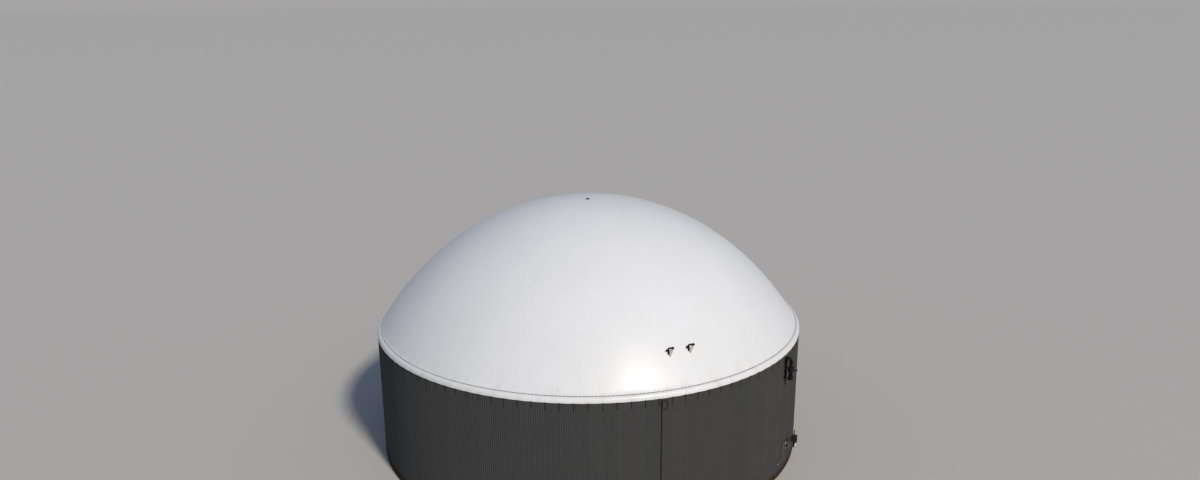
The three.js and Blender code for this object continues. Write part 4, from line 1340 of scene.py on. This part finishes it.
panel = block((-inner + 0.002, -0.044, HATCH_FOOT + HATCH_BAR + 0.002),
              (inner - 0.002, -0.010, HATCH_HEAD - HATCH_BAR - 0.002))
bars = [block((-inner + 0.070, -0.085, z - 0.035), (inner - 0.070, -0.030, z + 0.035), 0.008, 3)
        for z in (1.160, 1.420)]
grips = [pipe([(x - 0.07, -0.040, 0.86), (x - 0.07, -0.084, 0.86), (x + 0.07, -0.084, 0.86),
               (x + 0.07, -0.040, 0.86)], 0.008, 0.02, sides=12) for x in (-0.22, 0.22)]
settle("hatch_panel", [panel, *bars, *grips], sheet_anthracite, "hatch_cover", place=hatch_place)

side = HATCH_HALF - BOLT_INSET
low, high = HATCH_FOOT + BOLT_INSET, HATCH_HEAD - BOLT_INSET
shares = [i / BOLT_GAPS for i in range(BOLT_GAPS + 1)]
seats = [(side * (2 * share - 1), z) for share in shares for z in (low, high)]
seats += [(x, low + (high - low) * share) for share in shares[1:-1] for x in (-side, side)]
bolts = [placed(bolt(0.010), shift(x, -HATCH_DEPTH, z) @ OUTWARD) for x, z in seats]
settle("hatch_bolts", bolts, steel_galvanised, place=hatch_place)

# %% [markdown]
# ## Feed stubs
# Two short pipes for feeding and sampling leave the wall beside the hatch. Each has a valve bonnet with a
# spindle above, a drain cock below and a pale blind flange in front with its bolts.

# %% Feed stubs
FEED_BEARINGS = (22.5, 27.5)
FEED_HEIGHT = 1.060
VALVE_OUT = 0.085
CAP_SEAT = 0.170 + SEAT_GAP

for number, bearing in enumerate(FEED_BEARINGS, 1):
    place = on_wall(bearing, FEED_HEIGHT)
    body = turned([
        (0, -0.02), (0.150, -0.02), (0.150, 0.026), (0.146, 0.030), (0.104, 0.030), (0.100, 0.034),
        (0.100, 0.112), (0.128, 0.116), (0.132, 0.120), (0.132, 0.166), (0.128, 0.170), (0, 0.170)])
    bonnet = turned([
        (0, 0.060), (0.062, 0.060), (0.058, 0.120), (0.058, 0.170), (0.078, 0.176), (0.078, 0.196),
        (0.050, 0.206), (0.044, 0.236), (0.066, 0.250), (0.080, 0.256), (0.080, 0.312), (0.074, 0.320),
        (0, 0.320)], steps=36)
    cock = turned([
        (0, -0.260), (0.048, -0.260), (0.055, -0.254), (0.055, -0.214), (0.036, -0.206), (0.036, -0.150),
        (0.050, -0.142), (0.050, -0.100), (0.042, -0.060), (0, -0.060)], steps=32)
    lever = pipe([(0, -VALVE_OUT, -0.180), (-0.020, -0.125, -0.180), (-0.020, -0.165, -0.180)], 0.010, 0.01,
                 sides=12)
    upright = [placed(part, shift(0, -VALVE_OUT, 0)) for part in (bonnet, cock)]
    settle(f"feed_stub_{number}_valve", [placed(body, OUTWARD), *upright, lever], plastic_black,
           f"feed_stub_{number}", place=place)
    flange = [turned(disc(0.140, 0, 0.032)), bolt_circle(8, 0.112, 0.032, 0.009)]
    settle(f"feed_stub_{number}_flange", flange, steel_galvanised, f"feed_cap_{number}",
           place=place @ shift(0, -CAP_SEAT, 0) @ OUTWARD)

# %% [markdown]
# ## Sampling cabinet
# A small white cabinet hangs on the wall at the left. It is a folded steel box with a door: the door is the
# front face, inset and lifted, with two hinges and a turn lock.

# %% Sampling cabinet
CABINET_BEARING, CABINET_HEIGHT = -37.5, 1.400
HINGE_X, DOOR_FACE = -0.184, -0.140

cabinet_place = on_wall(CABINET_BEARING, CABINET_HEIGHT)
case = lidded_block((-0.190, -0.132, -0.110), (0.190, 0, 0.110), 0.012, 0.008)
roof = block((-0.200, -0.150, 0.106), (0.200, 0, 0.118), 0.003)
hinges = [pipe([(HINGE_X, DOOR_FACE, z - 0.02), (HINGE_X, DOOR_FACE, z + 0.02)], 0.006, sides=12)
          for z in (-0.06, 0.06)]
settle("sampling_cabinet", [case, roof, *hinges], paint_white, "sample_box", place=cabinet_place)
lock = turned([(0, 0), (0.014, 0), (0.014, 0.006), (0.010, 0.009), (0, 0.009)], steps=24)
settle("cabinet_lock", lock, steel_galvanised, place=cabinet_place @ shift(0.150, DOOR_FACE, 0) @ OUTWARD)

# %% [markdown]
# ## Hand over
# The last cell prints the box of the dressed tank, so that it can be compared with the box of the solids
# printed at the start.

# %% Print the dressed box
low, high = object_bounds()
print("dressed box:", [round(v, 3) for v in (*low, *high)])
